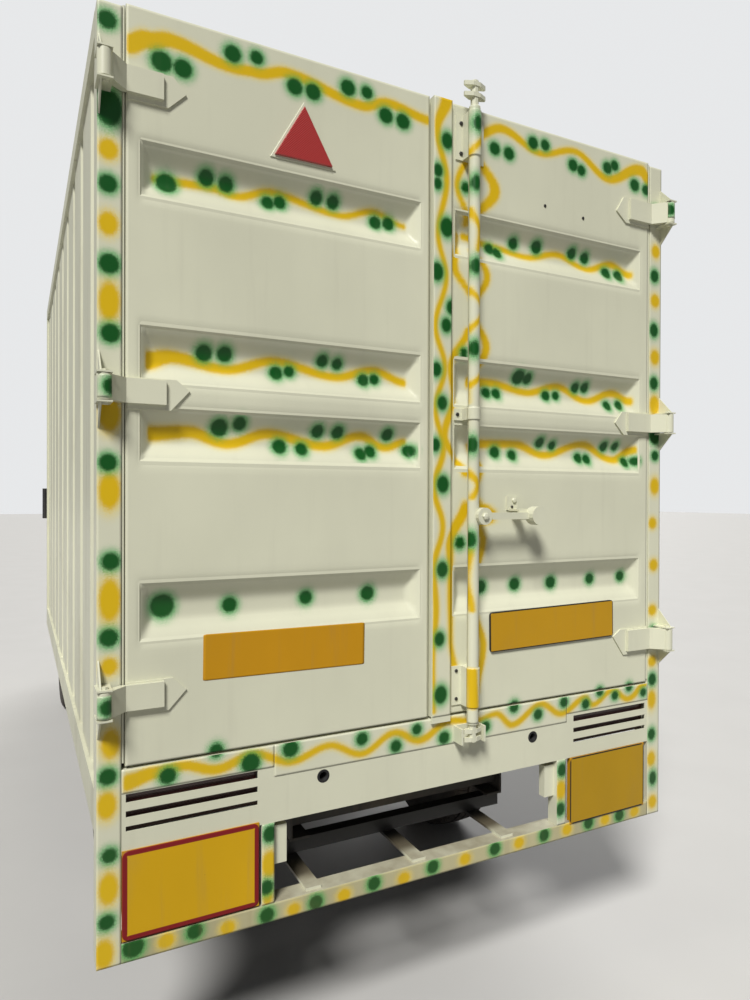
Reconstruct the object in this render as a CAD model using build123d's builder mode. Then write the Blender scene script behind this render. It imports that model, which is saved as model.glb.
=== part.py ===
from build123d import *
import math
import os

os.makedirs("parts", exist_ok=True)

# Driving dimensions in mm: ground is z = 0, the truck looks along +Y, and its rear doors along -Y
body_width = 1830
body_length = 3100
body_height = 2240        # from the under-run bar's underside to the roof edge
sill_height = 455         # deck, and the gap under the rear doors, above the under-run bar's underside
bar_bottom = 430
cab_width = 1620
cab_gap = 80
cab_back = 640            # cab's back wall behind the front axle
cab_nose = 975            # cab's nose ahead of the front axle
bumper_proud = 60
hardware_proud = 85       # door handle behind the rear face
wheelbase = 2700
tyre_radius = 350
tyre_width = 205
track_half = 700
door_gap = 8              # running gap round a door

half_width = body_width / 2
cab_half = cab_width / 2
length = hardware_proud + body_length + cab_gap + cab_back + cab_nose + bumper_proud
rear_face = -length / 2 + hardware_proud
body_front = rear_face + body_length
front_axle_y = body_front + cab_gap + cab_back
rear_axle_y = front_axle_y - wheelbase
nose_y = front_axle_y + cab_nose
sill_top = bar_bottom + sill_height
body_top = bar_bottom + body_height

rail_inner = 315
rail_outer = 375
rail_low = 530
rail_high = 670
rail_middle = (rail_inner + rail_outer) / 2
sides = (-1, 1)


def block(x_pair, y_pair, z_pair, mode=Mode.ADD):
    """Rectangular bar between two limits on each axis, given in either order."""
    lows = [min(pair) for pair in (x_pair, y_pair, z_pair)]
    spans = [max(pair) - min(pair) for pair in (x_pair, y_pair, z_pair)]
    with Locations(tuple(low + span / 2 for low, span in zip(lows, spans))):
        Box(*spans, mode=mode)


def rod(start, end, radius, mode=Mode.ADD):
    """Round bar from one point to another."""
    way = Vector(end) - Vector(start)
    with Locations(Plane(origin=start, z_dir=way)):
        Cylinder(radius, way.length, align=(Align.CENTER, Align.CENTER, Align.MIN), mode=mode)


def flat_rod(start, end, radius, count=8, mode=Mode.ADD):
    """Many-sided bar from one point to another."""
    way = Vector(end) - Vector(start)
    plane = Plane(origin=start, z_dir=way)
    turns = [2 * math.pi * (index + 0.5) / count for index in range(count)]
    corners = [plane.from_local_coords((radius * math.cos(turn), radius * math.sin(turn), 0)) for turn in turns]
    add(Solid.extrude(Face(Wire.make_polygon(corners)), way), mode=mode)


def rear_plane(depth):
    """Upright plane facing backwards, a depth ahead of the rear face."""
    return Plane.XZ.offset(-(rear_face + depth))


def finish(part, name):
    """Label a finished piece and write it."""
    part.label = name
    export_step(part, f"parts/{name}.step")


# Rear portal: two posts and the header, which the closed doors cover
post_width = 55
post_depth = 55
post_drop = 6             # posts end this far under the roof line
header_height = 58
header_thick = 10
opening_half = half_width - post_width
with BuildPart() as rear_portal:
    for side in sides:
        block((side * opening_half, side * half_width), (rear_face, rear_face + post_depth), (bar_bottom, body_top - post_drop))
    block((-opening_half + 0.5, opening_half - 0.5), (rear_face + post_depth - header_thick, rear_face + post_depth),
          (body_top - header_height, body_top - 2))
finish(rear_portal.part, "rear_portal")

# Apron under the doors: folded sheet with louvres at both ends, two round holes and the rod's lower keeper
apron_height = 200
apron_thick = 10
louvre_skin = 3
louvre_margin = 6
flange_thick = 6
apron_low = sill_top - apron_height
# Heights above the under-run bar's underside
louvre_rows = [(372, 392), (337, 352), (304, 316)]           # low, high
louvre_spans = [(-850, -530, 4), (526, 848, -3)]             # x low, x high, raised by
apron_holes = [(-349, 350), (359, 346)]                      # x, height
apron_hole_radius = 13
rod_x = 104               # lock rod's axis on the right-hand door
rod_y = rear_face - 38
keeper_low = bar_bottom + 380
keeper_high = bar_bottom + 426
cheek_half = 42

with BuildPart() as rear_apron:
    with BuildSketch(rear_plane(apron_thick)) as apron_outline:
        with Locations((0, sill_top - apron_height / 2)):
            Rectangle(2 * opening_half, apron_height)
        for low_x, high_x, rise in louvre_spans:
            for low, high in louvre_rows:
                with Locations(((low_x + high_x) / 2, bar_bottom + rise + (low + high) / 2)):
                    Rectangle(high_x - low_x, high - low, mode=Mode.SUBTRACT)
        with Locations(*[(x, bar_bottom + height) for x, height in apron_holes]):
            Circle(apron_hole_radius, mode=Mode.SUBTRACT)
    extrude(amount=apron_thick)
    for low_x, high_x, rise in louvre_spans:
        block((low_x - louvre_margin, high_x + louvre_margin), (rear_face + louvre_skin, rear_face + apron_thick),
              (bar_bottom + rise + louvre_rows[-1][0] - louvre_margin, bar_bottom + rise + louvre_rows[0][1] + louvre_margin),
              Mode.SUBTRACT)
    for flange_low, flange_depth in ((sill_top - flange_thick, post_depth), (apron_low, 40)):
        block((-opening_half, opening_half), (rear_face, rear_face + flange_depth),
              (flange_low, flange_low + flange_thick))
    for cheek_x in (rod_x - cheek_half, rod_x + cheek_half - 6):
        block((cheek_x, cheek_x + 6), (rear_face - 46, rear_face), (keeper_low, keeper_high))
    block((rod_x - cheek_half, rod_x + cheek_half), (rear_face - 6, rear_face), (keeper_low, keeper_high))
finish(rear_apron.part, "rear_apron")

# Hinge brackets on the posts: a plate and a three-cornered web above and below each strap, with a pin head
hinge_x = half_width - 12
hinge_y = rear_face - 45
barrel_radius = 17
bracket_gap = 2
bracket_thick = 4
web_height = 60
web_inset = 6
# Columns: strap low, strap high, strap end x, pad tip x, pad tip height, all as on the right-hand side
straps_right = [(2030, 2098, 755, 701, 2052), (1318, 1379, 749, 698, 1345), (578, 648, 752, 693, 630)]
straps_left = [(2033, 2094, 768, 713, 2064), (1312, 1370, 761, 704, 1350), (595, 655, 765, 711, 628)]
with BuildPart() as hinge_brackets:
    for side, straps in ((1, straps_right), (-1, straps_left)):
        web_x = min(side * (half_width - web_inset), side * (half_width - web_inset + bracket_thick))
        for low, high, strap_end, tip, tip_height in straps:
            for edge, way in ((high, 1), (low, -1)):
                start = bar_bottom + edge + way * bracket_gap
                plate_x = (side * (hinge_x - barrel_radius), side * (hinge_x + barrel_radius))
                block(plate_x, (hinge_y - barrel_radius, rear_face), (start, start + way * bracket_thick))
                with BuildSketch(Plane.YZ.offset(web_x)) as web:
                    with BuildLine():
                        Polyline((rear_face, start), (hinge_y - barrel_radius + 4, start),
                                 (rear_face, start + way * web_height), close=True)
                    make_face()
                extrude(amount=bracket_thick)
                flat_rod((side * (hinge_x - 2), hinge_y, start), (side * (hinge_x - 2), hinge_y, start + way * 9), 8, 6)
finish(hinge_brackets.part, "hinge_brackets")

# Under-run frame: channel bar, two inner uprights with their light blocks, and struts to the chassis
bar_height = 47
bar_depth = 55
bar_wall = 5
upright_spans = [(-519, -485, 1), (457, 494, -1)]            # x low, x high, side that the block stands on
block_width = 38
block_heights = (139, 239)
strut_x = [-372, -46, 268]
strut_half = 22
strut_front = rear_face + 200

with BuildPart() as underrun_frame:
    with BuildSketch(Plane.YZ.offset(-opening_half)) as channel:
        with Locations((rear_face + bar_depth / 2, bar_bottom + bar_height / 2)):
            Rectangle(bar_depth, bar_height)
        with Locations((rear_face + bar_depth / 2 + bar_wall, bar_bottom + bar_height / 2)):
            Rectangle(bar_depth, bar_height - 2 * bar_wall, mode=Mode.SUBTRACT)
    extrude(amount=2 * opening_half)
    for low_x, high_x, facing in upright_spans:
        block((low_x, high_x), (rear_face, rear_face + 6), (bar_bottom + bar_height, apron_low))
        edge_x = high_x if facing > 0 else low_x
        block((edge_x - facing * 6, edge_x), (rear_face, rear_face + 40),
              (bar_bottom + bar_height, apron_low))
        block((edge_x, edge_x + facing * block_width), (rear_face + 14, rear_face + 40),
              (bar_bottom + block_heights[0], bar_bottom + block_heights[1]))
    for x in strut_x:
        block((x - strut_half, x + strut_half), (rear_face + 10, strut_front + 20), (bar_bottom + bar_height, bar_bottom + bar_height + 8))
    block((-rail_outer, rail_outer), (strut_front, strut_front + 40), (bar_bottom + bar_height + 8, bar_bottom + 95))
    for side in sides:
        block((side * (rail_middle - 20), side * (rail_middle + 20)), (strut_front + 5, strut_front + 35),
              (bar_bottom + 95, rail_low))
finish(underrun_frame.part, "underrun_frame")

# Tail lamps: one long lens bar behind each set of louvres
lamp_gap = 6
lamp_deep = 30
with BuildPart() as tail_lamps:
    for low_x, high_x, rise in louvre_spans:
        block((low_x, high_x), (rear_face + apron_thick + lamp_gap, rear_face + apron_thick + lamp_gap + lamp_deep),
              (bar_bottom + 300 + rise, bar_bottom + 396 + rise))
finish(tail_lamps.part, "tail_lamps")

# Sign boards under the louvres: a sheet over a shallow tray, a wide board on the left, a number board on the right
board_deep = 15
board_skin = 3
board_fold = 12
tray_low = bar_bottom + bar_height + 2
boards = [(-859, -527, 52, 264), (510, 840, 41, 254)]        # x low, x high, low, high
with BuildPart() as rear_boards:
    for low_x, high_x, low, high in boards:
        block((low_x, high_x), (rear_face - board_skin, rear_face), (bar_bottom + low, bar_bottom + high))
        tray = ((low_x + 4, high_x - 4), (rear_face, rear_face + board_deep), (max(tray_low, bar_bottom + low), apron_low - 2))
        block(*tray)
        block((low_x + board_fold, high_x - board_fold), tray[1], (tray[2][0] + board_fold, tray[2][1] - board_fold),
              Mode.SUBTRACT)
finish(rear_boards.part, "rear_boards")

# Cargo floor: deck, cross bearers and the two long sills on the chassis rails
deck_thick = 28
bearer_height = 80
bearer_width = 50
bearer_count = 9
inner_half = half_width - 50
corner_post = 60
floor_back = rear_face + post_depth
floor_front = body_front - corner_post
bearer_low = sill_top - deck_thick - bearer_height
with BuildPart() as cargo_floor:
    block((-inner_half, inner_half), (floor_back, floor_front), (sill_top - deck_thick, sill_top))
    bearer_pitch = (floor_front - floor_back - 200) / (bearer_count - 1)
    with Locations((0, (floor_back + floor_front) / 2, bearer_low + bearer_height / 2)):
        with GridLocations(0, bearer_pitch, 1, bearer_count):
            Box(2 * inner_half, bearer_width, bearer_height)
    for side in sides:
        block((side * (rail_middle - 30), side * (rail_middle + 30)), (floor_back, floor_front), (rail_high, bearer_low))
finish(cargo_floor.part, "cargo_floor")

# Side walls: pressed sheet with upright grooves between a bottom rail, a top rail and a corner post
groove_pitch = 345
groove_depth = 30
groove_mouth = 90
groove_root = 44
sheet_thick = 6
sheet_outer = half_width - 10
side_rail_low = bar_bottom + 300
side_rail_high = bar_bottom + 400
top_rail_height = 60


def grooved_line(start, stop, pitch, mouth, root):
    """Points (along, depth share) of a flat sheet with trapezoid grooves, one about every pitch."""
    count = round((stop - start) / pitch)
    step = (stop - start) / count
    points = [(start, 0)]
    for index in range(count):
        centre = start + (index + 0.5) * step
        points += [(centre - mouth / 2, 0), (centre - root / 2, 1), (centre + root / 2, 1), (centre + mouth / 2, 0)]
    points.append((stop, 0))
    return points


with BuildPart() as wall_right:
    wall_line = grooved_line(floor_back, floor_front, groove_pitch, groove_mouth, groove_root)
    outer_points = [(sheet_outer - groove_depth * share, y) for y, share in wall_line]
    inner_points = [(x - sheet_thick, y) for x, y in reversed(outer_points)]
    with BuildSketch(Plane.XY.offset(side_rail_high)) as sheet_plan:
        with BuildLine():
            Polyline(*outer_points, *inner_points, close=True)
        make_face()
    extrude(amount=body_top - top_rail_height - side_rail_high)
    block((inner_half, half_width), (floor_back, body_front), (side_rail_low, side_rail_high))
    block((inner_half, half_width), (floor_back, body_front), (body_top - top_rail_height, body_top))
    block((half_width - corner_post, half_width), (floor_front, body_front), (side_rail_low, body_top))
finish(wall_right.part, "wall_right")
with BuildPart() as wall_left:
    mirror(wall_right.part, about=Plane.YZ)
finish(wall_left.part, "wall_left")

# Front wall of the load space, with the same grooves between two rails
wall_half = half_width - corner_post
with BuildPart() as wall_front:
    wall_line = grooved_line(-wall_half, wall_half, groove_pitch, groove_mouth, groove_root)
    outer_points = [(x, body_front - 5 - groove_depth * share) for x, share in wall_line]
    inner_points = [(x, y - sheet_thick) for x, y in reversed(outer_points)]
    with BuildSketch(Plane.XY.offset(sill_top)) as front_plan:
        with BuildLine():
            Polyline(*outer_points, *inner_points, close=True)
        make_face()
    extrude(amount=body_top - top_rail_height - sill_top)
    for low_z, high_z in ((side_rail_low, sill_top), (body_top - top_rail_height, body_top)):
        block((-wall_half, wall_half), (floor_front, body_front), (low_z, high_z))
finish(wall_front.part, "wall_front")

# Roof: sheet with raised cross swages between the top rails
swage_pitch = 310
swage_rise = 14
with BuildPart() as cargo_roof:
    roof_line = grooved_line(floor_back, floor_front, swage_pitch, 120, 80)
    upper_points = [(y, body_top - swage_rise - 4 + swage_rise * share) for y, share in roof_line]
    lower_points = [(y, z - sheet_thick) for y, z in reversed(upper_points)]
    with BuildSketch(Plane.YZ.offset(-inner_half)) as roof_profile:
        with BuildLine():
            Polyline(*upper_points, *lower_points, close=True)
        make_face()
    extrude(amount=2 * inner_half)
finish(cargo_roof.part, "cargo_roof")

# Rear doors: pressed panels with four bevelled recesses each, and pockets between them on the inside
door_low = sill_top + 7
door_high = body_top + 3
door_thick = 40
door_frame = 40
recess_depth = 32
recess_margin = 4
skin = 6
recess_rows = [(750, 889), (1178, 1307), (1365, 1500), (1803, 1935)]     # low, high above the bar's underside
bevel_end = 30
bevel_side = 44
strap_back = 6            # strap's rear side, behind the rear face
strap_front = 16
pad_margins = (12, 4)     # pad beyond the strap, below and above


def door_recess(low_x, high_x, low_z, high_z):
    """Bevelled pocket in the door's rear face: level trapezoid one way, upright trapezoid the other."""
    with BuildPart() as recess:
        with BuildSketch(Plane.YZ.offset(low_x)) as upright:
            with BuildLine():
                Polyline((rear_face, low_z), (rear_face + recess_depth, low_z + bevel_side),
                         (rear_face + recess_depth, high_z - bevel_side), (rear_face, high_z), close=True)
            make_face()
        extrude(amount=high_x - low_x)
        with BuildSketch(Plane.XY.offset(low_z)) as level:
            with BuildLine():
                Polyline((low_x, rear_face), (low_x + bevel_end, rear_face + recess_depth),
                         (high_x - bevel_end, rear_face + recess_depth), (high_x, rear_face), close=True)
            make_face()
        extrude(amount=high_z - low_z, mode=Mode.INTERSECT)
    return recess.part


def cargo_door(inner_x, outer_x, recess_in, recess_out, straps):
    """One leaf as on the right-hand side, with its hinge straps and their barrels."""
    with BuildPart() as leaf:
        with BuildSketch(rear_plane(door_thick)) as leaf_outline:
            with Locations(((inner_x + outer_x) / 2, (door_low + door_high) / 2)):
                Rectangle(outer_x - inner_x, door_high - door_low)
        extrude(amount=door_thick)
        for low, high in recess_rows:
            add(door_recess(recess_in, recess_out, bar_bottom + low, bar_bottom + high), mode=Mode.SUBTRACT)
        pocket_lows = [door_low + door_frame] + [bar_bottom + high + recess_margin for low, high in recess_rows]
        pocket_highs = [bar_bottom + low - recess_margin for low, high in recess_rows] + [door_high - door_frame]
        for low_z, high_z in zip(pocket_lows, pocket_highs):
            block((recess_in, recess_out), (rear_face + skin, rear_face + door_thick), (low_z, high_z), Mode.SUBTRACT)
        for low, high, strap_end, tip, tip_height in straps:
            low_z = bar_bottom + low
            high_z = bar_bottom + high
            with BuildSketch(rear_plane(0)) as pad:
                with BuildLine():
                    Polyline((outer_x - 4, low_z - pad_margins[0]), (strap_end - 12, low_z - pad_margins[0]),
                             (tip, bar_bottom + tip_height), (tip + 32, high_z + pad_margins[1]),
                             (outer_x - 4, high_z + pad_margins[1]), close=True)
                make_face()
            extrude(amount=strap_back)
            with BuildSketch(Plane.XY.offset(low_z)) as strap:
                with BuildLine():
                    Polyline((strap_end, rear_face - strap_back), (outer_x + 12, rear_face - strap_back),
                             (hinge_x - 2, hinge_y + 14), (hinge_x - 16, hinge_y - 5),
                             (outer_x, rear_face - strap_front), (strap_end, rear_face - strap_front), close=True)
                make_face()
                with Locations((hinge_x, hinge_y)):
                    Circle(barrel_radius)
            extrude(amount=high_z - low_z)
    return leaf.part


# The right-hand leaf carries the cover strip over the joint, with a lip hanging over the sill
cover_low = sill_top - 11
cover_edge = -17
cover_width = 62
right_leaf = cargo_door(cover_edge, opening_half - door_gap, 62, 816, straps_right)
with BuildPart() as cargo_door_right:
    add(right_leaf)
    block((cover_edge, cover_edge + cover_width), (rear_face - 12, rear_face), (door_low, door_high))
    block((cover_edge, cover_edge + cover_width), (rear_face - 12, rear_face - 6), (cover_low, door_low))
finish(cargo_door_right.part, "cargo_door_right")

left_leaf = cargo_door(-cover_edge + door_gap, opening_half - door_gap, 52, 820, straps_left)
with BuildPart() as cargo_door_left:
    mirror(left_leaf, about=Plane.YZ)
finish(cargo_door_left.part, "cargo_door_left")

# Lock rod on the right-hand door: rod, saddles over it, pointed cams, handle and its hasp
rod_radius = 16.5
saddle_radius = 19.5
pin_radius = 12
# Columns: low, high, flange x low, flange x high, above the bar's underside
saddles = [(2081, 2211, 62, 160), (1320, 1354, 60, 144), (486, 600, 53, 126)]
pin_top = 2300
cam_heights = (2251, 2282)
cam_thick = 12
cam_outline = [(-36, -3), (-12, -13), (12, -13), (36, -3), (36, 3), (12, 13), (-12, 13), (-36, 3)]
lower_share = 0.8         # the lower cams against the upper ones
handle_height = 1040
handle_x = (125, 313)     # pivot, knob
with BuildPart() as lock_rod:
    rod((rod_x, rod_y, bar_bottom + 436), (rod_x, rod_y, bar_bottom + 2225), rod_radius)
    for low, high, low_x, high_x in saddles:
        z_pair = (bar_bottom + low, bar_bottom + high)
        block((low_x, high_x), (rear_face - 5, rear_face), z_pair)
        block((rod_x - saddle_radius, rod_x + saddle_radius), (rod_y, rear_face - 5), z_pair)
        rod((rod_x, rod_y, z_pair[0]), (rod_x, rod_y, z_pair[1]), saddle_radius)
    flat_rod((rod_x, rod_y, bar_bottom + 2220), (rod_x, rod_y, bar_bottom + pin_top), pin_radius)
    flat_rod((rod_x, rod_y, keeper_low + 4), (rod_x, rod_y, bar_bottom + 440), pin_radius)
    cams = [(bar_bottom + height, 1) for height in cam_heights]
    cams += [(height, lower_share) for height in (keeper_low + 6, keeper_high - 16)]
    for height, share in cams:
        with BuildSketch(Plane.XY.offset(height)) as cam:
            with BuildLine():
                Polyline(*[(rod_x + share * x, rod_y + share * y) for x, y in cam_outline], close=True)
            make_face()
        extrude(amount=cam_thick)
    handle_z = bar_bottom + handle_height
    flat_rod((handle_x[0], rear_face - 30, handle_z), (handle_x[0], rear_face - 70, handle_z), 25, 16)
    with BuildSketch(rear_plane(-54)) as handle:
        with Locations(((handle_x[0] + 342) / 2, handle_z)):
            Rectangle(342 - handle_x[0], 20)
        chamfer(handle.vertices(), 6)
    extrude(amount=12)
    flat_rod((handle_x[1], rear_face - 50, handle_z), (handle_x[1], rear_face - hardware_proud, handle_z), 28, 16)
    block((251, 297), (rear_face - 5, rear_face), (handle_z + 16, handle_z + 58))
    block((258, 290), (rear_face - 54, rear_face), (handle_z + 14, handle_z + 20))
    block((258, 290), (rear_face - 54, rear_face - 48), (handle_z - 12, handle_z + 20))
finish(lock_rod.part, "lock_rod")

# Chassis: two channel rails and their cross members
rail_web = 6
rail_flange = 7
rail_front = front_axle_y + 900
rail_back = strut_front - 20
member_y = [rail_back + 60, rear_axle_y - 400, rear_axle_y + 420, rear_axle_y + 920, rear_axle_y + 1420]
with BuildPart() as chassis_frame:
    for side in sides:
        with BuildSketch(Plane.XZ.offset(-rail_back)) as channel:
            with Locations((side * rail_middle, (rail_low + rail_high) / 2)):
                Rectangle(rail_outer - rail_inner, rail_high - rail_low)
            with Locations((side * (rail_middle - rail_web), (rail_low + rail_high) / 2)):
                Rectangle(rail_outer - rail_inner, rail_high - rail_low - 2 * rail_flange, mode=Mode.SUBTRACT)
        extrude(amount=-(rail_front - rail_back))
    for y in member_y:
        block((-rail_outer + rail_web, rail_outer - rail_web), (y - 30, y + 30), (rail_low + 30, rail_high - 30))
finish(chassis_frame.part, "chassis_frame")

# Mudguards over the rear wheels, on stays from the rails
guard_radius = 398
guard_thick = 4
guard_x = (572, 828)
guard_low = tyre_radius + 60
stay_reach = 240
with BuildPart() as mudguards:
    for side in sides:
        with BuildSketch(Plane.YZ.offset(min(side * guard_x[0], side * guard_x[1]))) as guard:
            with Locations((rear_axle_y, tyre_radius)):
                RegularPolygon(guard_radius, 32)
                RegularPolygon(guard_radius - guard_thick, 32, mode=Mode.SUBTRACT)
            with Locations((rear_axle_y, guard_low - guard_radius)):
                Rectangle(2 * guard_radius + 20, 2 * guard_radius, mode=Mode.SUBTRACT)
        extrude(amount=guard_x[1] - guard_x[0])
        stay_z = tyre_radius + math.sqrt((guard_radius + 8) ** 2 - stay_reach ** 2)
        for end in sides:
            y = rear_axle_y + end * stay_reach
            with BuildSketch(Plane.XZ.offset(-(y + 10))) as stay:
                with BuildLine():
                    Polyline((side * (rail_outer + 1), rail_high - 40), (side * (rail_outer + 1), rail_high - 20),
                             (side * (guard_x[0] + 60), stay_z), (side * (guard_x[0] + 60), stay_z - 20), close=True)
                make_face()
            extrude(amount=20)
finish(mudguards.part, "mudguards")

# Leaf springs: concentric leaves, shorter downwards, their eyes hung from the rails
spring_half = 32
leaf_thick = 10
eye_radius = 22
leaf_step = 0.15          # how much shorter each next leaf is, as a share of the first
# Columns: axle y, half length, eye centre z, leaves, sag below the eyes
spring_sets = [(front_axle_y, 460, 482, 5, 35), (rear_axle_y, 560, 505, 6, 45)]
spring_lows = [eye_z - sag - leaves * leaf_thick for axle_y, half_span, eye_z, leaves, sag in spring_sets]
with BuildPart() as leaf_springs:
    for axle_y, half_span, eye_z, leaves, sag in spring_sets:
        steps = []
        for index in range(leaves):
            share = 1 - leaf_step * index
            top = eye_z - sag * (1 - share ** 2) - leaf_thick * index
            steps += [(share * half_span, top), (share * half_span, top - leaf_thick)]
        crown = [(-half_span / 2, eye_z - 0.75 * sag), (0, eye_z - sag), (half_span / 2, eye_z - 0.75 * sag)]
        outline_points = crown + steps + [(-y, z) for y, z in reversed(steps)]
        for side in sides:
            with BuildSketch(Plane.YZ.offset(side * rail_middle - spring_half)) as pack:
                with BuildLine():
                    Polyline(*[(axle_y + y, z) for y, z in outline_points], close=True)
                make_face()
            extrude(amount=2 * spring_half)
            for end in sides:
                eye_y = axle_y + end * half_span
                flat_rod((side * rail_middle - spring_half, eye_y, eye_z), (side * rail_middle + spring_half, eye_y, eye_z), eye_radius)
                block((side * rail_middle - 12, side * rail_middle + 12), (eye_y - 18, eye_y + 18), (eye_z, rail_low))
finish(leaf_springs.part, "leaf_springs")

# Rear axle: tube, differential bowl with its nose, and spring pads
tube_radius = 42
hub_face = 604            # where the axle ends and the wheels' hubs begin
bowl_drums = [(150, 95), (80, 140)]      # half length along x, radius
nose_reach = 225
with BuildPart() as rear_axle:
    rod((-hub_face + 1, rear_axle_y, tyre_radius), (hub_face - 1, rear_axle_y, tyre_radius), tube_radius)
    for half_span, radius in bowl_drums:
        flat_rod((-half_span, rear_axle_y, tyre_radius), (half_span, rear_axle_y, tyre_radius), radius, 12)
    flat_rod((0, rear_axle_y + 90, tyre_radius), (0, rear_axle_y + nose_reach, tyre_radius), 55, 12)
    for side in sides:
        block((side * rail_middle - 40, side * rail_middle + 40), (rear_axle_y - 60, rear_axle_y + 60),
              (tyre_radius, spring_lows[1]))
finish(rear_axle.part, "rear_axle")

# Front axle: dropped beam between the kingpin bosses, with spring pads
kingpin_x = track_half - 85
boss_low = 308
boss_high = 396
# Right half of the beam seen from the front: x, z
beam_half = [(445, 345), (520, 390), (kingpin_x, 390), (kingpin_x, 314), (525, 314), (440, 272)]
with BuildPart() as front_axle:
    with BuildSketch(Plane.XZ.offset(-(front_axle_y + 28))) as beam:
        with BuildLine():
            Polyline(*beam_half, *[(-x, z) for x, z in reversed(beam_half)], close=True)
        make_face()
    extrude(amount=56)
    for side in sides:
        rod((side * kingpin_x, front_axle_y, boss_low), (side * kingpin_x, front_axle_y, boss_high), 32)
        block((side * rail_middle - 40, side * rail_middle + 40), (front_axle_y - 55, front_axle_y + 55),
              (300, spring_lows[0]))
finish(front_axle.part, "front_axle")

# Steering knuckles: yoke round the beam's boss, spindle, and steering arm
yoke_levels = [(278, 302), (402, 428)]                       # z low, z high
arm_back = 150
arm_in = 100
spindle_end = 748
with BuildPart() as knuckle_right:
    for low_z, high_z in yoke_levels:
        with BuildSketch(Plane.XY.offset(low_z)) as yoke:
            with Locations((kingpin_x + 30, front_axle_y)):
                Rectangle(124, 64)
            chamfer(yoke.vertices(), 18)
        extrude(amount=high_z - low_z)
    block((kingpin_x + 42, kingpin_x + 66), (front_axle_y - 45, front_axle_y + 45), (yoke_levels[0][0], yoke_levels[1][1]))
    flat_rod((kingpin_x + 60, front_axle_y, tyre_radius), (spindle_end, front_axle_y, tyre_radius), 30, 12)
    with BuildSketch(Plane.XY.offset(yoke_levels[0][0])) as arm:
        with BuildLine():
            Polyline((kingpin_x - 24, front_axle_y), (kingpin_x + 20, front_axle_y),
                     (kingpin_x - arm_in + 16, front_axle_y - arm_back), (kingpin_x - arm_in - 16, front_axle_y - arm_back),
                     close=True)
        make_face()
        with Locations((kingpin_x - arm_in, front_axle_y - arm_back)):
            RegularPolygon(22, 12)
    extrude(amount=20)
finish(knuckle_right.part, "knuckle_right")
with BuildPart() as knuckle_left:
    mirror(knuckle_right.part, about=Plane.YZ)
finish(knuckle_left.part, "knuckle_left")

# Tie rod just under the steering arms
tie_y = front_axle_y - arm_back
tie_high = yoke_levels[0][0] - 5
with BuildPart() as tie_rod:
    flat_rod((-kingpin_x + arm_in, tie_y, tie_high - 17), (kingpin_x - arm_in, tie_y, tie_high - 17), 14)
    for side in sides:
        flat_rod((side * (kingpin_x - arm_in), tie_y, tie_high - 34), (side * (kingpin_x - arm_in), tie_y, tie_high), 20)
finish(tie_rod.part, "tie_rod")

# Wheels: each turned about its own axle along X, drawn as (distance from the wheel's middle, radius)
rim_radius = 190
tyre_profile = [(66, rim_radius + 1), (96, 232), (tyre_width / 2, 290), (84, tyre_radius)]     # bead to tread
rim_edge = 74
rim_skin = 8
disc_faces = (50, 60)
wheel_facets = 32
rim_facets = 24
hub_radius = 50
hand_holes = 5


def tyre_ring():
    """Ring of flat facets about the X axis: each side of the profile goes round in equal steps."""
    profile = tyre_profile + [(-x, radius) for x, radius in reversed(tyre_profile)]
    step = 2 * math.pi / wheel_facets
    facets = []
    for (x_a, radius_a), (x_b, radius_b) in zip(profile, profile[1:] + profile[:1]):
        for index in range(wheel_facets):
            turns = ((x_a, radius_a, index), (x_b, radius_b, index), (x_b, radius_b, index + 1), (x_a, radius_a, index + 1))
            corners = [(x, radius * math.cos(step * turn), radius * math.sin(step * turn)) for x, radius, turn in turns]
            facets.append(Face(Wire.make_polygon(corners)))
    return Solid(Shell(facets))


def rim_disc(hub_inner, hub_outer):
    """Rim barrel, disc with hand holes, and hub, bolted on the +X side."""
    # Columns: start, end, polygon radius, added or taken away
    drums = [(-rim_edge, rim_edge, rim_radius, Mode.ADD), (-rim_edge, disc_faces[0], rim_radius - rim_skin, Mode.SUBTRACT),
             (disc_faces[1], rim_edge, rim_radius - rim_skin, Mode.SUBTRACT)]
    with BuildPart() as wheel:
        for start, end, radius, mode in drums:
            with BuildSketch(Plane.YZ.offset(start)) as drum:
                RegularPolygon(radius, rim_facets)
            extrude(amount=end - start, mode=mode)
        with BuildSketch(Plane.YZ.offset(hub_inner)) as hub:
            RegularPolygon(hub_radius, 16)
        extrude(amount=hub_outer - hub_inner)
        with BuildSketch(Plane.YZ.offset(disc_faces[0])) as holes:
            with PolarLocations(122, hand_holes):
                RegularPolygon(24, 8)
        extrude(amount=disc_faces[1] - disc_faces[0], mode=Mode.SUBTRACT)
    return wheel.part


# Columns: name end, axle y, hub's inner end and outer end from the wheel's middle
wheel_table = [("front", front_axle_y, spindle_end + 1 - track_half, 96), ("rear", rear_axle_y, hub_face - track_half, 88)]
for end_name, axle_y, hub_inner, hub_outer in wheel_table:
    place = Location((track_half, axle_y, tyre_radius))
    pieces = [("tyre", tyre_ring().moved(place)), ("rim", rim_disc(hub_inner, hub_outer).moved(place))]
    for name, solid in pieces:
        with BuildPart() as right_wheel:
            add(solid)
        finish(right_wheel.part, f"{name}_{end_name}_right")
        with BuildPart() as left_wheel:
            mirror(solid, about=Plane.YZ)
        finish(left_wheel.part, f"{name}_{end_name}_left")

# Propeller shaft from the gearbox to the differential
gearbox_back = front_axle_y - 760
with BuildPart() as propshaft:
    rod((0, rear_axle_y + nose_reach + 4, tyre_radius), (0, gearbox_back - 4, 500), 36)
finish(propshaft.part, "propshaft")

# Engine and gearbox as one plain block
with BuildPart() as engine:
    block((-230, 230), (front_axle_y - 430, front_axle_y + 420), (430, 960))
    block((-130, 130), (gearbox_back, front_axle_y - 430), (410, 640))
finish(engine.part, "engine")

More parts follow.
